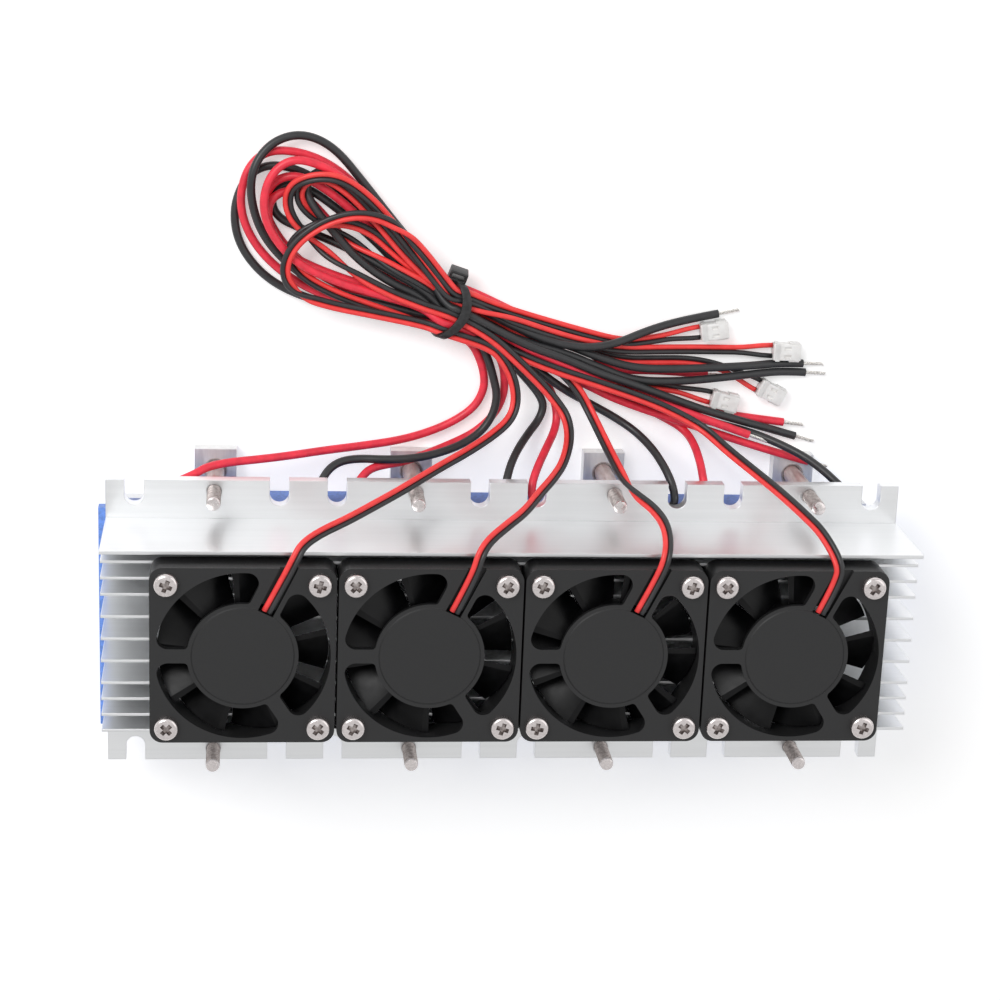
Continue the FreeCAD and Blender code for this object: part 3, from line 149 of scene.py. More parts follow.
FAN_ROUTES = {
    1: [
        (-68.2, 15.9, 63.4), (-62.8, 26.4, 63.4), (-60.7, 30.9, 63.5), (-58.8, 34.4, 62.1),
        (-54.1, 36.6, 58.2), (-46.6, 38.9, 53.8), (-38.3, 41.4, 46.7), (-31.1, 43.7, 40.8),
        (-20.1, 47.3, 30.1), (-12.2, 49.5, 22.7), (-4.1, 52.7, 15.6), (1.4, 56.4, 11.7),
        (3.2, 61.3, 9.9), (2.2, 67.5, 9.8), (-0.4, 72.7, 10.2), (-4.5, 77.5, 10.8),
        (-16.5, 81, 10.4), (-20.2, 82.3, 10.3), (-24.3, 83.6, 9.1), (-37.9, 86.2, 9),
        (-51, 88.5, 8.7), (-60.5, 91.5, 9.1), (-64.4, 97.7, 9.9), (-61.7, 105.7, 10.8),
        (-53.4, 112.5, 11.8), (-43.3, 115.5, 12.2), (-33.5, 113.1, 12.2), (-25.2, 104.9, 11.2),
        (-18.5, 96.3, 10), (-15.3, 92.7, 10.2), (-11.6, 92.3, 9.9), (-3.7, 88.7, 7.8),
        (8.2, 84.8, 5.6), (21.1, 81, 3.9), (34, 77.7, 3.4), (43, 78.5, 2), (50, 79.8, 1.6),
        (57, 80.9, 1.6)],
    2: [
        (-17.6, 15.9, 63.4), (-12.4, 26.6, 63.4), (-11, 32.7, 63.6), (-8.3, 35.6, 60.3),
        (-3.1, 38.2, 55.3), (2.3, 40.4, 49.5), (7, 43.3, 41.8), (11.8, 45.9, 34.6),
        (15.5, 48.4, 27.1), (18.3, 52.4, 16.5), (17.8, 57.3, 11.5), (14.6, 61.6, 10.2),
        (10.7, 66.1, 10.1), (3.5, 73.1, 11), (-4.5, 80.3, 11.1), (-14.8, 85.7, 10.2),
        (-18.5, 87.2, 10.3), (-24.4, 88.9, 10.2), (-35.8, 93, 9.1), (-47.2, 99.3, 7.6),
        (-57.2, 106.9, 5.2), (-63.1, 114, 5.6), (-63, 121.3, 7.3), (-56.9, 125, 9.7),
        (-48.6, 125, 10.3), (-40.4, 119.5, 9.9), (-31.8, 109.8, 9.7), (-21.9, 97.4, 10.3),
        (-17.4, 91.1, 10.3), (-13.3, 90.1, 10), (7.7, 82.6, 7.8), (20.8, 78.3, 5.4),
        (33.9, 75.5, 3.2), (46, 75.6, 1.9), (60, 75.8, 1.6), (78.8, 75.7, 1.6)],
    3: [
        (33, 15.9, 63.4), (38.4, 26.8, 63.4), (39.9, 32.4, 63.5), (40.7, 36, 59),
        (40.3, 38.8, 53.1), (38, 41, 47), (34.6, 42.7, 42.3), (32.3, 44.4, 37.5),
        (30.7, 47, 30.1), (28.7, 50.8, 18.2), (25.1, 57.9, 9.4), (21.3, 64.7, 7.8),
        (15.8, 70.3, 7.3), (7.6, 76.7, 5.3), (-2.4, 83.1, 4.7), (-13.7, 87.1, 3.9),
        (-17.4, 88.5, 3.9), (-22.9, 94.5, 9.4), (-33.3, 99.5, 8), (-45.2, 106.1, 4.2),
        (-55.1, 111.9, 3.3), (-60.1, 117.2, 4.8), (-59.5, 122.5, 6.7), (-54, 125.1, 7.5),
        (-46.5, 121.2, 7.6), (-37.7, 112.2, 7.6), (-29.9, 103.2, 8.6), (-21.5, 95.6, 8.8),
        (-16.1, 93.8, 7.8), (-12.2, 92.7, 7.5), (8, 81.1, 2.7), (21.1, 75.5, 1),
        (34.1, 72.1, 1.5), (44, 72.2, 1.2), (54.6, 72.4, 1.3), (64, 70.6, 1.4), (71, 67.4, 1.6),
        (75.4, 65.2, 1.6)],
    4: [
        (83.5, 15.9, 63.4), (88, 25.6, 63.4), (87.8, 30.6, 63.4), (84, 37.2, 56.9),
        (80.4, 40.1, 50.1), (75.2, 43.7, 40.3), (69.2, 47.2, 29.9), (63.7, 50.3, 20.1),
        (57.8, 54.8, 12.6), (51, 58.1, 10.5), (43.2, 61.5, 9.6), (27.6, 66.8, 10.2),
        (11.6, 71.6, 9.6), (-3.4, 77.6, 8.8), (-16.1, 80.5, 8), (-19.7, 82.2, 7.9),
        (-24.9, 83.6, 6.6), (-38.2, 87.3, 6.5), (-50.8, 91.7, 6.1), (-59.9, 96.9, 5.7),
        (-63, 103.7, 6.2), (-58.6, 109.6, 7.7), (-50.5, 112.5, 8.1), (-41, 110.5, 7),
        (-33.1, 104, 6.5), (-26.2, 96.7, 6.1), (-21.1, 92, 5), (-18, 88.9, 2), (-14, 87.5, 1.5),
        (5.8, 75.9, 0.9), (21.7, 69.8, 2.9), (37.7, 65.7, 3.5), (47.5, 64.5, 2.4),
        (55, 62.9, 1.6), (61.4, 61.4, 1.6)],
}

# How a twin lead lies: at these distances along it, in millimetres, its red wire has gone round its
# centre by this many half turns from the left of its way

TWIN_TURNS = {
    1: [(0, 0), (176, 0), (190, 1), (226, 1), (240, 2), (999, 2)],
    2: [(0, 0), (150, 0), (190, 2), (240, 2), (280, 4), (999, 4)],
    3: [(0, 0), (38, 0), (58, 1), (150, 1), (190, 3), (240, 3), (270, 5), (999, 5)],
    4: [(0, 0), (150, 0), (190, 1), (240, 1), (280, 3), (999, 3)],
}

# Millimetres from the middle to each wire where a twin lead enters its plug, and how far before it
# the wires begin to part
SPREAD = 1.6
SPREAD_OVER = 11.0

# The cable tie: its middle, the directions across the leads and along them, and its strap's line as
# distances across the neck, above the surface and along the leads
TIE_MIDDLE = Vector((-18.5, 88.3, 0))
TIE_ACROSS = Vector((0.31, 0.95, 0)).normalized()
TIE_ALONG = Vector((0.95, -0.31, 0)).normalized()
STRAP_HALF = 7.9
STRAP_THICK = 1.1
STRAP = [(-5.6, 0.65, 0), (-7.9, 0.65, 0), (-7.9, 3, 0.2), (-8.1, 8.4, 0.8), (-7.8, 11.4, 1.8),
         (-4.6, 12.3, 4.4), (0, 12.5, 6), (4.6, 12.3, 5.2), (7.8, 11.4, 3), (8.1, 8.4, 1.2),
         (7.9, 3, 0.2), (7.9, 0.65, 0), (5.6, 0.65, 0)]
TIE_HEAD = (5.2, 4.2, 4.6)
TIE_HEAD_OUT = 1.7
TIE_HEAD_UP = 7
TIE_HEAD_ALONG = 0.8
TIE_HEAD_TILT = 14

# Where the fans and the clamp bolts stand, and the rim of the fans' motor plates, in millimetres
FAN_MIDDLE = 1.4
FAN_PITCH = 50.6
FAN_X = {n: FAN_MIDDLE + FAN_PITCH * (n - 2.5) for n in CELLS}
FAN_Y = 3.1
FAN_TOP = 63.3
PLATE_STEP = 13.8
SCREW_PITCH = 41
BOLT_X = (-82.9, -26.3, 30.3, 86.9)
BOLT_ROW = 38.8

# Fan screws and clamp bolts, in millimetres. The bolt's head, neck, thread and tip are levels above
# the cold plate's underside. The recess narrows by the taper towards its bottom.
SCREW_RADIUS = 1.5
SCREW_LENGTH = 16
HEAD_RISE = 2.2
HEAD_ROUNDING = 0.9
RECESS_REACH = 2.4
RECESS_WIDTH = 1.5
RECESS_TAPER = (0.45, 0.6, 1)
BOLT_RADIUS = 2
BOLT_HEAD_RADIUS = 3.7
BOLT_HEAD_LOW = 0.1
BOLT_HEAD_HIGH = 2
BOLT_NECK = 23
THREAD_ROOT = 1.55
THREAD_LOW = 22.6
THREAD_HIGH = 39.2
THREAD_STEPS = 22
BOLT_TIP = 40.1

# Stripped ends, in millimetres and degrees: the last strand is the middle one, the others lie round
# it at the lay's distance
STRANDS = 7
STRAND_LENGTH = 6.2
STRAND_RADIUS = 0.19
STRAND_LAY = 0.36
STRAND_TWIST = 460
STRAND_STEPS = 12

# Height of a plug's middle above the surface, in millimetres
PLUG_LEVEL = 2.3

# The white surroundings as the object's diffuse and glossy surfaces see them
WORLD_DIFFUSE = 0.45
WORLD_GLOSSY = 0.8
PAPER = (0.86, 0.86, 0.86, 1)
PAPER_GLOW = 0.42

# The camera: its place in millimetres, its axes to the right, up and back, and its lens
CAMERA_PLACE = (-72.5, 226.1, 659.4)
CAMERA_AXES = ((0.99437, 0.03800, 0.09888), (-0.00801, 0.95775, -0.28745),
               (-0.10563, 0.28504, 0.95267))
CAMERA_LENS = 84.22
# Area lamps: name, place and size in metres, and power
LAMPS = [("key", (-0.5, 0.6, 0.8), 0.5, 6), ("fill", (0.7, 0.3, 0.7), 0.8, 1.5)]


# Settings that a user would change

class CoolerSizes(bpy.types.PropertyGroup):
    """Sizes of the pieces that are modelled here, in metres."""
    chip_lead: bpy.props.FloatProperty(
        name="Chip lead", description="Outside diameter of a chip lead", default=0.0024,
        min=0.0005, subtype="DISTANCE", unit="LENGTH", precision=5)
    fan_wire: bpy.props.FloatProperty(
        name="Fan wire", description="Outside diameter of one wire of a fan's twin lead",
        default=0.0015, min=0.0005, subtype="DISTANCE", unit="LENGTH", precision=5)
    screw_head: bpy.props.FloatProperty(
        name="Screw head", description="Diameter of a fan screw's pan head", default=0.0065,
        min=0.004, subtype="DISTANCE", unit="LENGTH", precision=4)
    thread_pitch: bpy.props.FloatProperty(
        name="Thread pitch", description="Pitch of the clamp bolts' thread", default=0.0007,
        min=0.0002, subtype="DISTANCE", unit="LENGTH", precision=5)
    strap_width: bpy.props.FloatProperty(
        name="Strap width", description="Width of the cable tie's strap", default=0.0028,
        min=0.001, subtype="DISTANCE", unit="LENGTH", precision=4)


class CoolerColours(bpy.types.PropertyGroup):
    """Colours as sRGB hex values."""
    aluminium: bpy.props.StringProperty(
        name="Aluminium", description="Extruded heat sink", default="F4F5F6")
    plate: bpy.props.StringProperty(
        name="Plate", description="Milled cold plate and blocks", default="E6E7E7")
    steel: bpy.props.StringProperty(
        name="Steel", description="Nickel plated screws and bolts", default="D9D2D1")
    foam: bpy.props.StringProperty(
        name="Foam", description="Closed cell foam", default="6F97E6")
    frame_black: bpy.props.StringProperty(
        name="Fan frame", description="Moulded fan frames", default="19191A")
    blade_black: bpy.props.StringProperty(
        name="Fan blades", description="Glossy rotors", default="0B0B0C")
    lead_red: bpy.props.StringProperty(
        name="Red lead", description="Red insulation", default="F2374B")
    fan_red: bpy.props.StringProperty(
        name="Red fan wire", description="Red insulation of the fans' wires", default="FF4342")
    lead_black: bpy.props.StringProperty(
        name="Black lead", description="Black insulation", default="2C2C2E")


def sizes():
    return bpy.context.scene.cooler_sizes


def colours():
    return bpy.context.scene.cooler_colours


# Small helpers

def linear(hex_colour):
    """An sRGB hex value as linear red, green, blue and a full alpha."""
    parts = [int(hex_colour[i:i + 2], 16) / 255 for i in (0, 2, 4)]
    return [c / 12.92 if c <= 0.04045 else ((c + 0.055) / 1.055) ** 2.4 for c in parts] + [1.0]


def metres(points):
    return [Vector(p) * MM for p in points]


def deselect():
    if bpy.context.object and bpy.context.object.mode != "OBJECT":
        bpy.ops.object.mode_set(mode="OBJECT")
    bpy.ops.object.select_all(action="DESELECT")


def added(name):
    """The object that an add operator has just made, renamed."""
    piece = bpy.context.object
    piece.name = name
    piece.data.name = name
    return piece


def pick(piece):
    """Selects this piece alone."""
    deselect()
    piece.select_set(True)
    bpy.context.view_layer.objects.active = piece


def at_origin(piece):
    """Puts a finished piece's place into its mesh."""
    pick(piece)
    bpy.ops.object.transform_apply(location=True, rotation=True, scale=True)
    return piece


def joined(name, pieces):
    deselect()
    for piece in pieces:
        piece.select_set(True)
    bpy.context.view_layer.objects.active = pieces[0]
    if len(pieces) > 1:
        bpy.ops.object.join()
    return at_origin(added(name))


def smooth(piece, angle):
    pick(piece)
    bpy.ops.object.shade_smooth_by_angle(angle=math.radians(angle))


def finish_with(piece, *materials):
    piece.data.materials.clear()
    for material in materials:
        piece.data.materials.append(material)


def modified(piece, kind, **values):
    """Adds a modifier with these values and applies it."""
    modifier = piece.modifiers.new(kind, kind)
    for key, value in values.items():
        setattr(modifier, key, value)
    pick(piece)
    bpy.ops.object.modifier_apply(modifier=modifier.name)


def boxed(size, place):
    """A box of this size about this place, in millimetres."""
    deselect()
    bpy.ops.mesh.primitive_cube_add(size=1, location=Vector(place) * MM)
    piece = bpy.context.object
    piece.scale = Vector(size) * MM
    return at_origin(piece)


def round_bar(radius, low, high, corners, top_radius=None):
    """A cylinder or cone about the vertical axis, in millimetres."""
    deselect()
    bpy.ops.mesh.primitive_cone_add(
        vertices=corners, radius1=radius * MM, depth=(high - low) * MM,
        radius2=(radius if top_radius is None else top_radius) * MM,
        location=(0, 0, (low + high) / 2 * MM))
    return at_origin(bpy.context.object)


def edited(piece, operator, test=lambda co: True, **values):
    """Runs an edit operator on the vertices that pass the test, which gets them in millimetres."""
    pick(piece)
    bpy.ops.object.mode_set(mode="EDIT")
    bpy.ops.mesh.select_mode(type="VERT")
    bpy.ops.mesh.select_all(action="DESELECT")
    bpy.ops.object.mode_set(mode="OBJECT")
    for vertex in piece.data.vertices:
        vertex.select = test(vertex.co / MM)
    bpy.ops.object.mode_set(mode="EDIT")
    operator(**values)
    bpy.ops.object.mode_set(mode="OBJECT")


def rounded_edges(piece, test, width, segments):
    """Rounds the edges between the vertices that pass the test."""
    edited(piece, bpy.ops.mesh.bevel, test, offset=width * MM, segments=segments, affect="EDGES")


def softened(piece, width, segments, angle=40):
    """Rounds every sharp edge of a piece."""
    modified(piece, "BEVEL", width=width * MM, segments=segments, angle_limit=math.radians(angle))


def carved(piece, cutter):
    """Takes the cutter out of the piece."""
    modified(piece, "BOOLEAN", object=cutter, solver="EXACT")
    bpy.data.objects.remove(cutter)


def cross_recess(piece, top, reach, width, depth):
    """Cuts a tapered cross into the piece, down from this level, or up for a negative depth."""
    for quarter in (0, 90):
        cutter = boxed((2 * reach, width, abs(2 * depth)), (0, 0, top))
        edited(cutter, bpy.ops.transform.resize, lambda co: (co.z - top) * depth < 0,
               value=RECESS_TAPER, center_override=(0, 0, (top - depth) * MM))
        cutter.rotation_euler.z = math.radians(quarter)
        carved(piece, at_origin(cutter))


def linked(name, data):
    """A new object in the scene with this mesh or curve."""
    piece = bpy.data.objects.new(name, data)
    bpy.context.collection.objects.link(piece)
    return piece


def placed(model, place, turns):
    """A copy of the model with its own mesh, turned and moved, place in millimetres."""
    copy = linked(model.name, model.data.copy())
    copy.rotation_euler = [math.radians(t) for t in turns]
    copy.location = Vector(place) * MM
    return at_origin(copy)


# Materials

def node(tree, kind, settings=None, *sources, **links):
    """Adds a node, sets its values and links its inputs, by place or name, from other outputs."""
    made = tree.nodes.new(kind)
    for key, value in (settings or {}).items():
        if key in made.inputs:
            made.inputs[key].default_value = value
        else:
            setattr(made, key, value)
    for socket, source in zip(made.inputs, sources):
        tree.links.new(source, socket)
    for key, source in links.items():
        tree.links.new(source, made.inputs[key])
    return made


def bump(tree, shader, height, strength, distance, under=None):
    """Relief from a height, in metres, over the normals of another relief if one is given."""
    made = node(tree, "ShaderNodeBump", {"Strength": strength, "Distance": distance}, Height=height)
    if under:
        tree.links.new(under, made.inputs["Normal"])
    tree.links.new(made.outputs["Normal"], shader.inputs["Normal"])


def new_material(name, tones, scale, stretch=(1, 1, 1), detail=2.0, rough=None, relief=None,
                 **values):
    """A material whose colour wanders between two by noise on Object coordinates.

    scale is in waves per metre, rough gives the noise's lowest and highest roughness, relief its
    bump's strength and height in metres, and values are the shader's own."""
    material = bpy.data.materials.new(name)
    material.use_nodes = True
    tree = material.node_tree
    shader = tree.nodes["Principled BSDF"]
    for key, value in values.items():
        shader.inputs[key.replace("_", " ")].default_value = value
    place = node(tree, "ShaderNodeTexCoord")
    mapping = node(tree, "ShaderNodeMapping", {"Scale": stretch}, Vector=place.outputs["Object"])
    noise = node(tree, "ShaderNodeTexNoise", {"Scale": scale, "Detail": detail},
                 Vector=mapping.outputs["Vector"]).outputs["Fac"]
    ramp = node(tree, "ShaderNodeValToRGB", Fac=noise)
    for stop, position, tone in zip(ramp.color_ramp.elements, (0.35, 0.65), tones):
        stop.position = position
        stop.color = tone
    tree.links.new(ramp.outputs["Color"], shader.inputs["Base Color"])
    if rough:
        spread = node(tree, "ShaderNodeMapRange", {"From Min": 0.3, "From Max": 0.7,
                                                   "To Min": rough[0], "To Max": rough[1]},
                      Value=noise)
        tree.links.new(spread.outputs["Result"], shader.inputs["Roughness"])
    if relief:
        bump(tree, shader, noise, *relief)
    return material


def parts_of(material):
    """A new material's nodes, its shader, its Object coordinates and its noise."""
    nodes = material.node_tree.nodes
    return (material.node_tree, nodes["Principled BSDF"],
            nodes["Texture Coordinate"].outputs["Object"], nodes["Noise Texture"].outputs["Fac"])


def around(hex_colour, darker, lighter):
    """The colour times each of two factors."""
    base = linear(hex_colour)
    return [[min(1.0, c * factor) for c in base[:3]] + [1.0] for factor in (darker, lighter)]


def pair(first, second):
    return [linear(first), linear(second)]


def extruded_aluminium():
    # Bare extruded aluminium: bright and satin, with faint die lines along it, and painted shade
    #  that darkens the level faces. Its edges are slightly rounded, so they catch the light.
    material = new_material("extruded_aluminium", around(colours().aluminium, 0.98, 1.01), 900,
                            (0.02, 1, 1), 3, rough=(0.29, 0.33), Metallic=0.85)
    tree, shader, _, lines = parts_of(material)
    normal = node(tree, "ShaderNodeNewGeometry").outputs["True Normal"]
    facing = node(tree, "ShaderNodeSeparateXYZ", Vector=normal)
    # Painted shade: faces that look up take a base colour up to a tenth darker
    level_face_shade = node(tree, "ShaderNodeMapRange", {"From Min": 0.6, "From Max": 0.9, "To Min": 1.0,
                                             "To Max": 0.9}, Value=facing.outputs["Z"])
    toned = node(tree, "ShaderNodeVectorMath", {"operation": "SCALE"},
                 Vector=shader.inputs["Base Color"].links[0].from_socket,
                 Scale=level_face_shade.outputs["Result"])
    tree.links.new(toned.outputs["Vector"], shader.inputs["Base Color"])
    edges = node(tree, "ShaderNodeBevel", {"Radius": 0.0004})
    bump(tree, shader, lines, 0.04, 0.0001, edges.outputs["Normal"])
    return material


def milled_aluminium():
    # Milled aluminium: greyer than the extrusion, with short cutter marks.
    return new_material("milled_aluminium", around(colours().plate, 0.92, 1.03), 700,
                        (1, 0.15, 1), 3, rough=(0.38, 0.5), relief=(0.15, 0.0001), Metallic=0.75)


def nickel_plated_steel():
    # Nickel plated steel: smooth and bright, with faint handling marks.
    return new_material("nickel_plated_steel", around(colours().steel, 0.9, 1.05), 1500, detail=3,
                        rough=(0.18, 0.30), Metallic=1.0)


def shaded_steel():
    # Cut threads and recesses: the same steel, darker, as painted shade in the recesses and along
    # the thread.
    return new_material("shaded_steel", pair("8A8280", "B4ACA9"), 1200, Metallic=1.0,
                        Roughness=0.4)


def sintered_bronze():
    # Oil-filled sintered bronze: dull, with open pores.
    return new_material("sintered_bronze", pair("7A5A2C", "C09A55"), 4000, Metallic=1.0,
                        Roughness=0.45)


def enamelled_copper():
    # Enamelled copper windings: a glossy coat over fine wires.
    return new_material("enamelled_copper", pair("7A3A1C", "C8773A"), 2500, (1, 1, 0.1), 1,
                        relief=(0.4, 0.0001), Metallic=0.8, Roughness=0.3)


def solder_mask():
    # Green solder mask over a circuit board: a thin even gloss.
    return new_material("solder_mask", pair("0E5A2C", "1C7A40"), 500, detail=1, Roughness=0.3)


def fired_alumina():
    # Fired alumina ceramic: white, dry, with a very fine grain.
    return new_material("fired_alumina", pair("E4E2DC", "F1EFEA"), 2600, Roughness=0.6)


def closed_cell_foam():
    # Closed cell polyethylene foam: soft blue with small cells, so its cut edges look dull and
    # bright at once.
    return new_material("closed_cell_foam", around(colours().foam, 0.85, 1.15), 900, detail=3,
                        relief=(0.5, 0.0002), Roughness=0.9, Sheen_Weight=0.3)


def moulded_pbt(n):
    # Moulded glass-filled PBT: dark grey with a fine spark-eroded texture, and the step round the
    # motor plate as a fine line about the fan's axis.
    material = new_material("moulded_pbt_%d" % n, around(colours().frame_black, 0.85, 1.2), 3500,
                            rough=(0.42, 0.56))
    tree, shader, place, grain = parts_of(material)
    centred = node(tree, "ShaderNodeMapping", {"Location": (-FAN_X[n] * MM, -FAN_Y * MM, 0),
                                               "Scale": (1, 1, 0)}, Vector=place)
    away = node(tree, "ShaderNodeVectorMath", {"operation": "LENGTH"},
                Vector=centred.outputs["Vector"])
    step = node(tree, "ShaderNodeMapRange", {
        "From Min": (PLATE_STEP - 0.2) * MM, "From Max": (PLATE_STEP + 0.2) * MM,
        "To Min": 1.0, "To Max": 0.0}, Value=away.outputs["Value"])
    relief = node(tree, "ShaderNodeBump", {"Strength": 1.0, "Distance": 0.0004},
                  Height=step.outputs["Result"])
    bump(tree, shader, grain, 0.25, 0.00005, relief.outputs["Normal"])
    return material


def polished_pbt():
    # Rotor plastic from a polished mould: black, with a weak gloss.
    return new_material("polished_pbt", around(colours().blade_black, 0.8, 1.3), 300,
                        rough=(0.3, 0.4), Specular_IOR_Level=0.18)


def clear_nylon():
    # Natural nylon: milky, so light spreads inside it and its edges stay soft.
    return new_material("clear_nylon", pair("F0EEEC", "FBFAF8"), 400, Roughness=0.35,
                        Subsurface_Weight=0.3, Subsurface_Radius=(0.002, 0.002, 0.002),
                        Subsurface_Scale=1.0)


def bushing_nylon():
    # Translucent bushing tube: a warm pinkish grey with soft streaks along it and a wet shine.
    return new_material("bushing_nylon", pair("C2A9A5", "EAD9D5"), 500, (1, 1, 0.2), Roughness=0.2,
                        Transmission_Weight=0.25)


def black_nylon():
    # Black nylon of the cable tie: faint ribs across the strap and a soft shine.
    material = new_material("black_nylon", pair("161617", "262628"), 900, rough=(0.34, 0.46))
    tree, shader, place, _ = parts_of(material)
    turned = node(tree, "ShaderNodeMapping", {"Rotation": (0, 0, math.radians(72))}, Vector=place)
    ribs = node(tree, "ShaderNodeTexWave", {"Scale": 420.0}, Vector=turned.outputs["Vector"])
    bump(tree, shader, ribs.outputs["Fac"], 0.12, 0.0001)
    return material


def insulation(name, hex_colour):
    # Soft PVC insulation: even colour with a slight wave from the extruder and a soft shine.
    return new_material(name, around(hex_colour, 0.9, 1.1), 350, rough=(0.34, 0.46),
                        relief=(0.15, 0.0001))


def tinned_copper():
    # Tinned strands: bright, a little dull where the solder froze.
    return new_material("tinned_copper", pair("B9B6B2", "ECE9E5"), 1800, detail=3,
                        rough=(0.25, 0.5), Metallic=1.0)


# The leads

def spline_curve(name, points, radius=0.0, closed=False):
    """A curve of one NURBS spline with these control points."""
    data = bpy.data.curves.new(name, "CURVE")
    data.dimensions = "3D"
    data.resolution_u = 12
    data.bevel_depth = radius
    data.bevel_resolution = 5
    data.use_fill_caps = True
    spline = data.splines.new("NURBS")
    spline.points.add(len(points) - 1)
    for target, point in zip(spline.points, points):
        target.co = (*point, 1)
    spline.order_u = 3
    spline.use_endpoint_u = not closed
    spline.use_cyclic_u = closed
    return linked(name, data)


def line_of(curve):
    """The points of the curve's own line, instead of the curve."""
    mesh = bpy.data.meshes.new_from_object(curve)
    line = [v.co.copy() for v in mesh.vertices]
    bpy.data.meshes.remove(mesh)
    bpy.data.objects.remove(curve)
    return line


class COOLER_OT_chip_leads(bpy.types.Operator):
    """Lays the eight chip leads, each through the cable tie, round its loop and to its bare end"""
    bl_idname = "cooler.chip_leads"
    bl_label = "Chip leads"

    def execute(self, context):
        radius = sizes().chip_lead / 2
        finishes = {"red": insulation("red_pvc", colours().lead_red),
                    "black": insulation("black_pvc", colours().lead_black)}
        for key, route in CHIP_ROUTES.items():
            points = metres(route)
            lead = spline_curve("lead_" + key, points, radius)
            finish_with(lead, finishes[key.split("_")[0]])
            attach(lead, "module")
            replaced = ["chip_lead_" + key] + (["lead_bundle"] if key == "red_1" else [])
            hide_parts(*replaced)
        return {"FINISHED"}


def upright_frames(line):
    """At every point of the line, its direction and the directions above it and to its right."""
    frames = []
    for i, point in enumerate(line):
        along = line[min(i + 1, len(line) - 1)] - line[max(i - 1, 0)]
        along.normalize()
        above = Vector((0, 0, 1)) - along * along.z
        above.normalize()
        frames.append((point, along, above, along.cross(above)))
    return frames


def eased(share):
    """A share between 0 and 1 with a soft start and end."""
    return share * share * (3 - 2 * share)


def half_turns(steps, travelled):
    """The half turns that a twin lead has made at this distance, with soft starts and ends."""
    for (low, before), (high, after) in zip(steps, steps[1:]):
        if travelled <= high:
            return before + (after - before) * eased((travelled - low) / (high - low))
    return steps[-1][1]


def twin_mesh(name, line, radius, steps, corners=14):
    """Two round wires side by side along the line, as one mesh: the first is the red one."""
    frames = upright_frames(line)
    travel = [0.0]
    for a, b in zip(line, line[1:]):
        travel.append(travel[-1] + (b - a).length)
    vertices, faces, wires = [], [], []
    for wire in (0, 1):
        rings = []
        for travelled, (point, along, above, right) in zip(travel, frames):
            share = max(0.0, 1 - (travel[-1] - travelled) / (SPREAD_OVER * MM))
            apart = radius + (SPREAD * MM - radius) * eased(share)
            turn = math.pi * (half_turns(steps, travelled / MM) + 1 + wire)
            middle = point + (right * math.cos(turn) + above * math.sin(turn)) * apart
            ring = []
            for k in range(corners):
                angle = 2 * math.pi * k / corners
                outward = right * math.cos(angle) + above * math.sin(angle)
                ring.append(len(vertices))
                vertices.append(middle + outward * radius)
            rings.append(ring)
        for low, high in zip(rings, rings[1:]):
            for k in range(corners):
                n = (k + 1) % corners
                faces.append((low[k], high[k], high[n], low[n]))
                wires.append(wire)
        faces.append(tuple(rings[0]))
        faces.append(tuple(reversed(rings[-1])))
        wires += [wire, wire]
    mesh = bpy.data.meshes.new(name)
    mesh.from_pydata(vertices, [], faces)
    mesh.polygons.foreach_set("use_smooth", [len(f) == 4 for f in faces])
    mesh.update()
    return linked(name, mesh), wires


class COOLER_OT_fan_leads(bpy.types.Operator):
    """Lays the four twisted twin leads of the fans, each from its motor plate to its plug"""
    bl_idname = "cooler.fan_leads"
    bl_label = "Fan leads"

    def execute(self, context):
        radius = sizes().fan_wire / 2
        red = insulation("bright_red_pvc", colours().fan_red)
        black = bpy.data.materials["black_pvc"]
        for n in CELLS:
            line = line_of(spline_curve("fan_route", metres(FAN_ROUTES[n])))
            lead, wires = twin_mesh("fan_twin_%d" % n, line, radius, TWIN_TURNS[n])
            finish_with(lead, red, black)
            lead.data.polygons.foreach_set("material_index", wires)
            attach(lead, "module")
            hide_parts("fan_lead_%d" % n)
        return {"FINISHED"}


class COOLER_OT_fan_screws(bpy.types.Operator):
    """Models a pan head screw with a cross recess and sets one in each corner of every fan"""
    bl_idname = "cooler.fan_screws"
    bl_label = "Fan screws"

    def execute(self, context):
        radius = sizes().screw_head / MM / 2
        head = round_bar(radius, 0, HEAD_RISE, 40)
        rounded_edges(head, lambda co: co.z > HEAD_RISE / 2, HEAD_ROUNDING, 4)
        cross_recess(head, HEAD_RISE, RECESS_REACH, RECESS_WIDTH, HEAD_RISE / 2)
        shank = round_bar(SCREW_RADIUS, -SCREW_LENGTH, 0.1, 20)
        rounded_edges(shank, lambda co: co.z < -SCREW_LENGTH / 2, 0.4, 1)
        steel = nickel_plated_steel()
        finish_with(head, steel, shaded_steel())
        finish_with(shank, steel)
        # The cross recess's inner faces take the darker steel: painted shade in the recess
        for face in head.data.polygons:
            middle = face.center / MM
            face.material_index = int(0.3 < middle.z < HEAD_RISE - 0.1
                                      and math.hypot(middle.x, middle.y) < RECESS_REACH - 0.05)
        model = joined("screw", [head, shank])
        smooth(model, 40)
        screws = []
        for n in CELLS:
            for side, end in ((-1, -1), (-1, 1), (1, -1), (1, 1)):
                place = (FAN_X[n] + side * SCREW_PITCH / 2, FAN_Y + end * SCREW_PITCH / 2, FAN_TOP)
                turn = 45 + 23 * len(screws) % 37
                screws.append(placed(model, place, (0, 0, turn)))
        bpy.data.objects.remove(model)
        screws = joined("pan_head_screws", screws)
        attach(screws, "module")
        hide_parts("fan_screws")
        return {"FINISHED"}


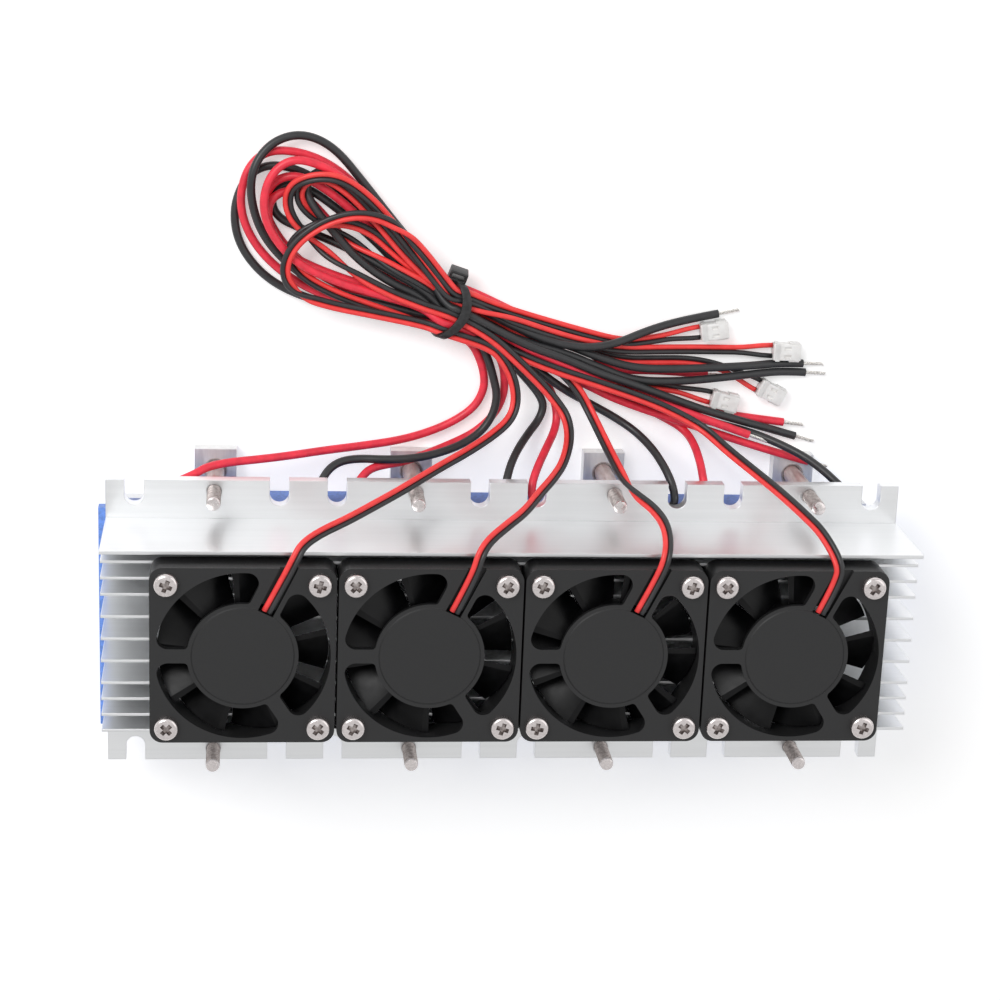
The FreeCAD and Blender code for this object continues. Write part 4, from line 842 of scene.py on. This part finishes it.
class COOLER_OT_clamp_bolts(bpy.types.Operator):
    """Models a countersunk bolt with a cut thread and sets one in each ear of the cold plate"""
    bl_idname = "cooler.clamp_bolts"
    bl_label = "Clamp bolts"

    def execute(self, context):
        steel, shaded = (bpy.data.materials[m] for m in ("nickel_plated_steel", "shaded_steel"))
        head = round_bar(BOLT_HEAD_RADIUS, BOLT_HEAD_LOW, BOLT_HEAD_HIGH, 40, BOLT_RADIUS - 0.1)
        cross_recess(head, BOLT_HEAD_LOW, 2, 0.9, -1.1)
        shank = round_bar(BOLT_RADIUS, BOLT_HEAD_HIGH - 0.1, BOLT_NECK, 32)
        tip = round_bar(BOLT_RADIUS - 0.1, THREAD_HIGH + 0.1, BOLT_TIP, 28)
        rounded_edges(tip, lambda co: co.z > BOLT_TIP - 0.1, 0.45, 2)
        core = round_bar(THREAD_ROOT, BOLT_NECK - 0.2, THREAD_HIGH + 0.2, 28)
        pieces = [head, shank, tip, self.thread(THREAD_LOW, THREAD_HIGH), core]
        # The thread and its core take the darker steel: painted shade along the thread
        for piece in pieces:
            finish_with(piece, steel if piece in (head, shank, tip) else shaded)
        model = joined("bolt", pieces)
        smooth(model, 35)
        bolts = [placed(model, (x, side * BOLT_ROW, 0), (0, 0, 31 * k))
                 for k, x in enumerate(BOLT_X) for side in (-1, 1)]
        bpy.data.objects.remove(model)
        bolts = joined("countersunk_bolts", bolts)
        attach(bolts, "module")
        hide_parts("clamp_bolts")
        return {"FINISHED"}

    def thread(self, low, high):
        """The thread's ridge: its section swept round and up by the pitch."""
        pitch = sizes().thread_pitch / MM
        deselect()
        bpy.ops.mesh.primitive_plane_add(size=1)
        ridge = bpy.context.object
        root, crest = THREAD_ROOT - 0.05, BOLT_RADIUS
        section = [(root, 0.12), (crest, 0.4), (root, 0.82), (crest, 0.56)]
        for vertex, (radius, height) in zip(ridge.data.vertices, section):
            vertex.co = Vector((radius, 0, low + height * pitch)) * MM
        edited(ridge, bpy.ops.mesh.delete, type="ONLY_FACE")
        modified(ridge, "SCREW", screw_offset=pitch * MM, iterations=int((high - low) / pitch),
                 steps=THREAD_STEPS, render_steps=THREAD_STEPS)
        edited(ridge, bpy.ops.mesh.fill_holes, sides=4)
        edited(ridge, bpy.ops.mesh.normals_make_consistent, inside=False)
        return ridge


class COOLER_OT_cable_tie(bpy.types.Operator):
    """Models the cable tie: a strap round the leads' neck and its head on the outer side"""
    bl_idname = "cooler.cable_tie"
    bl_label = "Cable tie"

    def execute(self, context):
        strap = self.strap()
        head = boxed(TIE_HEAD, (0, 0, 0))
        carved(head, boxed((3.9, 1.5, 6), (0, 0.5, 0)))
        softened(head, 0.5, 3)
        turn = math.degrees(math.atan2(TIE_ALONG.y, TIE_ALONG.x))
        place = (TIE_MIDDLE + TIE_ACROSS * (STRAP_HALF + TIE_HEAD_OUT) + TIE_ALONG * TIE_HEAD_ALONG
                 + Vector((0, 0, TIE_HEAD_UP)))
        head.rotation_euler = (math.radians(TIE_HEAD_TILT), 0, math.radians(turn))
        head.location = place * MM
        tie = joined("tie", [strap, at_origin(head)])
        smooth(tie, 40)
        finish_with(tie, black_nylon())
        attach(tie, "module")
        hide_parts("cable_tie")
        return {"FINISHED"}

    def strap(self):
        """A band along a closed line round the neck, leaning over at its top."""
        points = [TIE_MIDDLE + TIE_ACROSS * across + TIE_ALONG * lean + Vector((0, 0, height))
                  for across, height, lean in STRAP]
        curve = spline_curve("strap", metres(points), closed=True)
        curve.data.resolution_u = 10
        line = line_of(curve)
        deselect()
        bpy.ops.mesh.primitive_cylinder_add(vertices=len(line), end_fill_type="NOTHING",
                                            depth=sizes().strap_width, radius=0.01)
        band = bpy.context.object
        half = sizes().strap_width / 2
        for vertex in band.data.vertices:
            point = line[vertex.index // 2]
            vertex.co = point + TIE_ALONG * (half if vertex.index % 2 else -half)
        edited(band, bpy.ops.mesh.normals_make_consistent, inside=False)
        modified(band, "SOLIDIFY", thickness=STRAP_THICK * MM, offset=0, use_even_offset=True)
        softened(band, 0.25, 2, 60)
        return band


class COOLER_OT_plugs(bpy.types.Operator):
    """Models a two-way plug and sets one at the end of each fan lead"""
    bl_idname = "cooler.plugs"
    bl_label = "Plugs"

    def execute(self, context):
        model = boxed((8.2, 4.9, 4.2), (4.1, 0, PLUG_LEVEL))
        softened(model, 0.3, 2)
        for side in (-1, 1):
            # A wire's hole, the socket before it and its latch window
            carved(model, boxed((2.4, 1.7, 1.7), (0, side * SPREAD, PLUG_LEVEL)))
            carved(model, boxed((4.4, 1.5, 2.4), (7.4, side * 1.15, PLUG_LEVEL)))
            carved(model, boxed((2, 0.9, 1.2), (4.2, side * 1.2, 4.4)))
        ribs = [boxed((3, 0.5, 3), (6.3, side * 2.6, 2.4)) for side in (-1, 1)]
        collar = boxed((1.2, 5.3, 4.5), (1.2, 0, PLUG_LEVEL))
        carved(collar, boxed((3, 3.9, 3.2), (1.2, 0, PLUG_LEVEL)))
        model = joined("plug", [model, collar] + ribs)
        smooth(model, 30)
        white = clear_nylon()
        for n in CELLS:
            last, before = Vector(FAN_ROUTES[n][-1]), Vector(FAN_ROUTES[n][-2])
            turn = math.degrees(math.atan2(last.y - before.y, last.x - before.x))
            plug = placed(model, (last.x, last.y, 0), (0, 0, turn))
            plug.name = "plug_%d" % n
            finish_with(plug, white)
            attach(plug, "module")
            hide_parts("fan_plug_%d" % n)
        bpy.data.objects.remove(model)
        return {"FINISHED"}


class COOLER_OT_stripped_strands(bpy.types.Operator):
    """Models a stripped end of seven twisted strands and sets one at the end of each chip lead"""
    bl_idname = "cooler.stripped_strands"
    bl_label = "Stripped strands"

    def execute(self, context):
        strands = []
        for k in range(STRANDS):
            points = []
            for step in range(STRAND_STEPS + 1):
                share = step / STRAND_STEPS
                angle = math.radians(60 * k + STRAND_TWIST * share)
                fray = 0.1 * math.sin(9 * k) if share == 1 else 0
                reach = 0.0 if k == STRANDS - 1 else STRAND_LAY + fray
                points.append(Vector((share * (STRAND_LENGTH + 0.3 * math.cos(5 * k)) - 0.3,
                                      reach * math.cos(angle), reach * math.sin(angle))) * MM)
            strand = spline_curve("strand", points, STRAND_RADIUS * MM)
            strand.data.bevel_resolution = 2
            strand.data.resolution_u = 4
            pick(strand)
            bpy.ops.object.convert(target="MESH")
            strands.append(bpy.context.object)
        model = joined("strands", strands)
        smooth(model, 50)
        tips = []
        for k, route in enumerate(CHIP_ROUTES.values()):
            last, before = Vector(route[-1]), Vector(route[-2])
            along = (last - before).normalized()
            turn = math.degrees(math.atan2(along.y, along.x))
            tips.append(placed(model, last, (47 * k, -math.degrees(math.asin(along.z)), turn)))
        bpy.data.objects.remove(model)
        tips = joined("stripped_strands", tips)
        finish_with(tips, tinned_copper())
        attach(tips, "module")
        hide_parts("stripped_ends")
        return {"FINISHED"}


class COOLER_OT_finishes(bpy.types.Operator):
    """Gives every piece that comes from the solid model its finish"""
    bl_idname = "cooler.finishes"
    bl_label = "Finishes"

    def execute(self, context):
        extruded, milled = extruded_aluminium(), milled_aluminium()
        steel, foam = bpy.data.materials["nickel_plated_steel"], closed_cell_foam()
        finish = {
            "heat_sink": extruded, "cold_plate": milled, "foam_gasket": foam, "foam_block": foam,
            "bolt_sleeves": bushing_nylon()}
        repeated = {
            "cold_block": milled, "thermoelectric_chip": fired_alumina(),
            "fan_impeller": polished_pbt(), "fan_shaft": steel,
            "fan_bearing": sintered_bronze(), "fan_stator": enamelled_copper(),
            "fan_board": solder_mask()}
        for stem, material in repeated.items():
            for n in CELLS:
                finish["%s_%d" % (stem, n)] = material
        for n in CELLS:
            finish["fan_frame_%d" % n] = moulded_pbt(n)
        for name, material in finish.items():
            finish_with(NODES[name], material)
        return {"FINISHED"}


class COOLER_OT_stage(bpy.types.Operator):
    """Adds the floor, the lamps, the world and the camera"""
    bl_idname = "cooler.stage"
    bl_label = "Stage"

    def execute(self, context):
        self.camera(context)
        self.floor()
        self.lamps()
        self.world(context)
        context.scene.view_settings.view_transform = "Standard"
        return {"FINISHED"}

    def camera(self, context):
        bpy.ops.object.camera_add()
        camera = added("camera")
        turn = Matrix(CAMERA_AXES).transposed()
        camera.matrix_world = Matrix.Translation(Vector(CAMERA_PLACE) * MM) @ turn.to_4x4()
        camera.data.lens = CAMERA_LENS
        camera.data.sensor_width = 36.0
        camera.data.clip_start = 0.01
        camera.data.clip_end = 10.0
        context.scene.camera = camera

    def floor(self):
        deselect()
        bpy.ops.mesh.primitive_plane_add(size=6, location=(0, 0, -0.0001))
        floor = added("floor")
        material = bpy.data.materials.new("white_paper")
        material.use_nodes = True
        tree = material.node_tree
        tree.nodes.remove(tree.nodes["Principled BSDF"])
        rays = node(tree, "ShaderNodeLightPath").outputs
        paper = node(tree, "ShaderNodeBsdfDiffuse", {"Color": PAPER}).outputs[0]
        glow = node(tree, "ShaderNodeEmission", {"Strength": PAPER_GLOW}).outputs[0]
        both = node(tree, "ShaderNodeAddShader", None, paper, glow).outputs[0]
        seen = node(tree, "ShaderNodeMath", {"operation": "MAXIMUM"}, rays["Is Camera Ray"],
                    rays["Is Glossy Ray"]).outputs[0]
        mix = node(tree, "ShaderNodeMixShader", None, seen, paper, both).outputs[0]
        tree.links.new(mix, tree.nodes["Material Output"].inputs["Surface"])
        finish_with(floor, material)

    def lamps(self):
        for name, place, size, power in LAMPS:
            bpy.ops.object.light_add(type="AREA", location=place)
            lamp = added(name)
            lamp.data.size = size
            lamp.data.energy = power
            lamp.rotation_euler = (-Vector(place)).to_track_quat("-Z", "Y").to_euler()

    def world(self, context):
        world = bpy.data.worlds.new("studio")
        context.scene.world = world
        world.use_nodes = True
        tree = world.node_tree
        back = tree.nodes["Background"]
        rays = node(tree, "ShaderNodeLightPath").outputs
        shiny = node(tree, "ShaderNodeMapRange", {"To Min": WORLD_DIFFUSE, "To Max": WORLD_GLOSSY},
                     Value=rays["Is Glossy Ray"])
        level = node(tree, "ShaderNodeMath", {"operation": "MAXIMUM"}, rays["Is Camera Ray"],
                     shiny.outputs["Result"])
        back.inputs["Color"].default_value = (1, 1, 1, 1)
        tree.links.new(level.outputs["Value"], back.inputs["Strength"])


class COOLER_PT_panel(bpy.types.Panel):
    """Lists the module's steps in the sidebar"""
    bl_label = "Cooling module"
    bl_idname = "COOLER_PT_panel"
    bl_space_type = "VIEW_3D"
    bl_region_type = "UI"
    bl_category = "Cooler"

    def draw(self, context):
        for step in STEPS:
            self.layout.operator(step.bl_idname)


STEPS = (COOLER_OT_stage, COOLER_OT_fan_screws, COOLER_OT_clamp_bolts, COOLER_OT_cable_tie,
         COOLER_OT_plugs, COOLER_OT_stripped_strands, COOLER_OT_chip_leads, COOLER_OT_fan_leads,
         COOLER_OT_finishes)
CLASSES = (CoolerSizes, CoolerColours) + STEPS + (COOLER_PT_panel,)


def register():
    for item in CLASSES:
        bpy.utils.register_class(item)
    bpy.types.Scene.cooler_sizes = bpy.props.PointerProperty(type=CoolerSizes)
    bpy.types.Scene.cooler_colours = bpy.props.PointerProperty(type=CoolerColours)


def unregister():
    del bpy.types.Scene.cooler_colours
    del bpy.types.Scene.cooler_sizes
    for item in reversed(CLASSES):
        bpy.utils.unregister_class(item)


def main():
    register()
    deselect()
    bpy.ops.cooler.stage()
    bpy.ops.cooler.fan_screws()
    bpy.ops.cooler.clamp_bolts()
    bpy.ops.cooler.cable_tie()
    bpy.ops.cooler.plugs()
    bpy.ops.cooler.stripped_strands()
    bpy.ops.cooler.chip_leads()
    bpy.ops.cooler.fan_leads()
    bpy.ops.cooler.finishes()


if __name__ == "__main__":
    main()
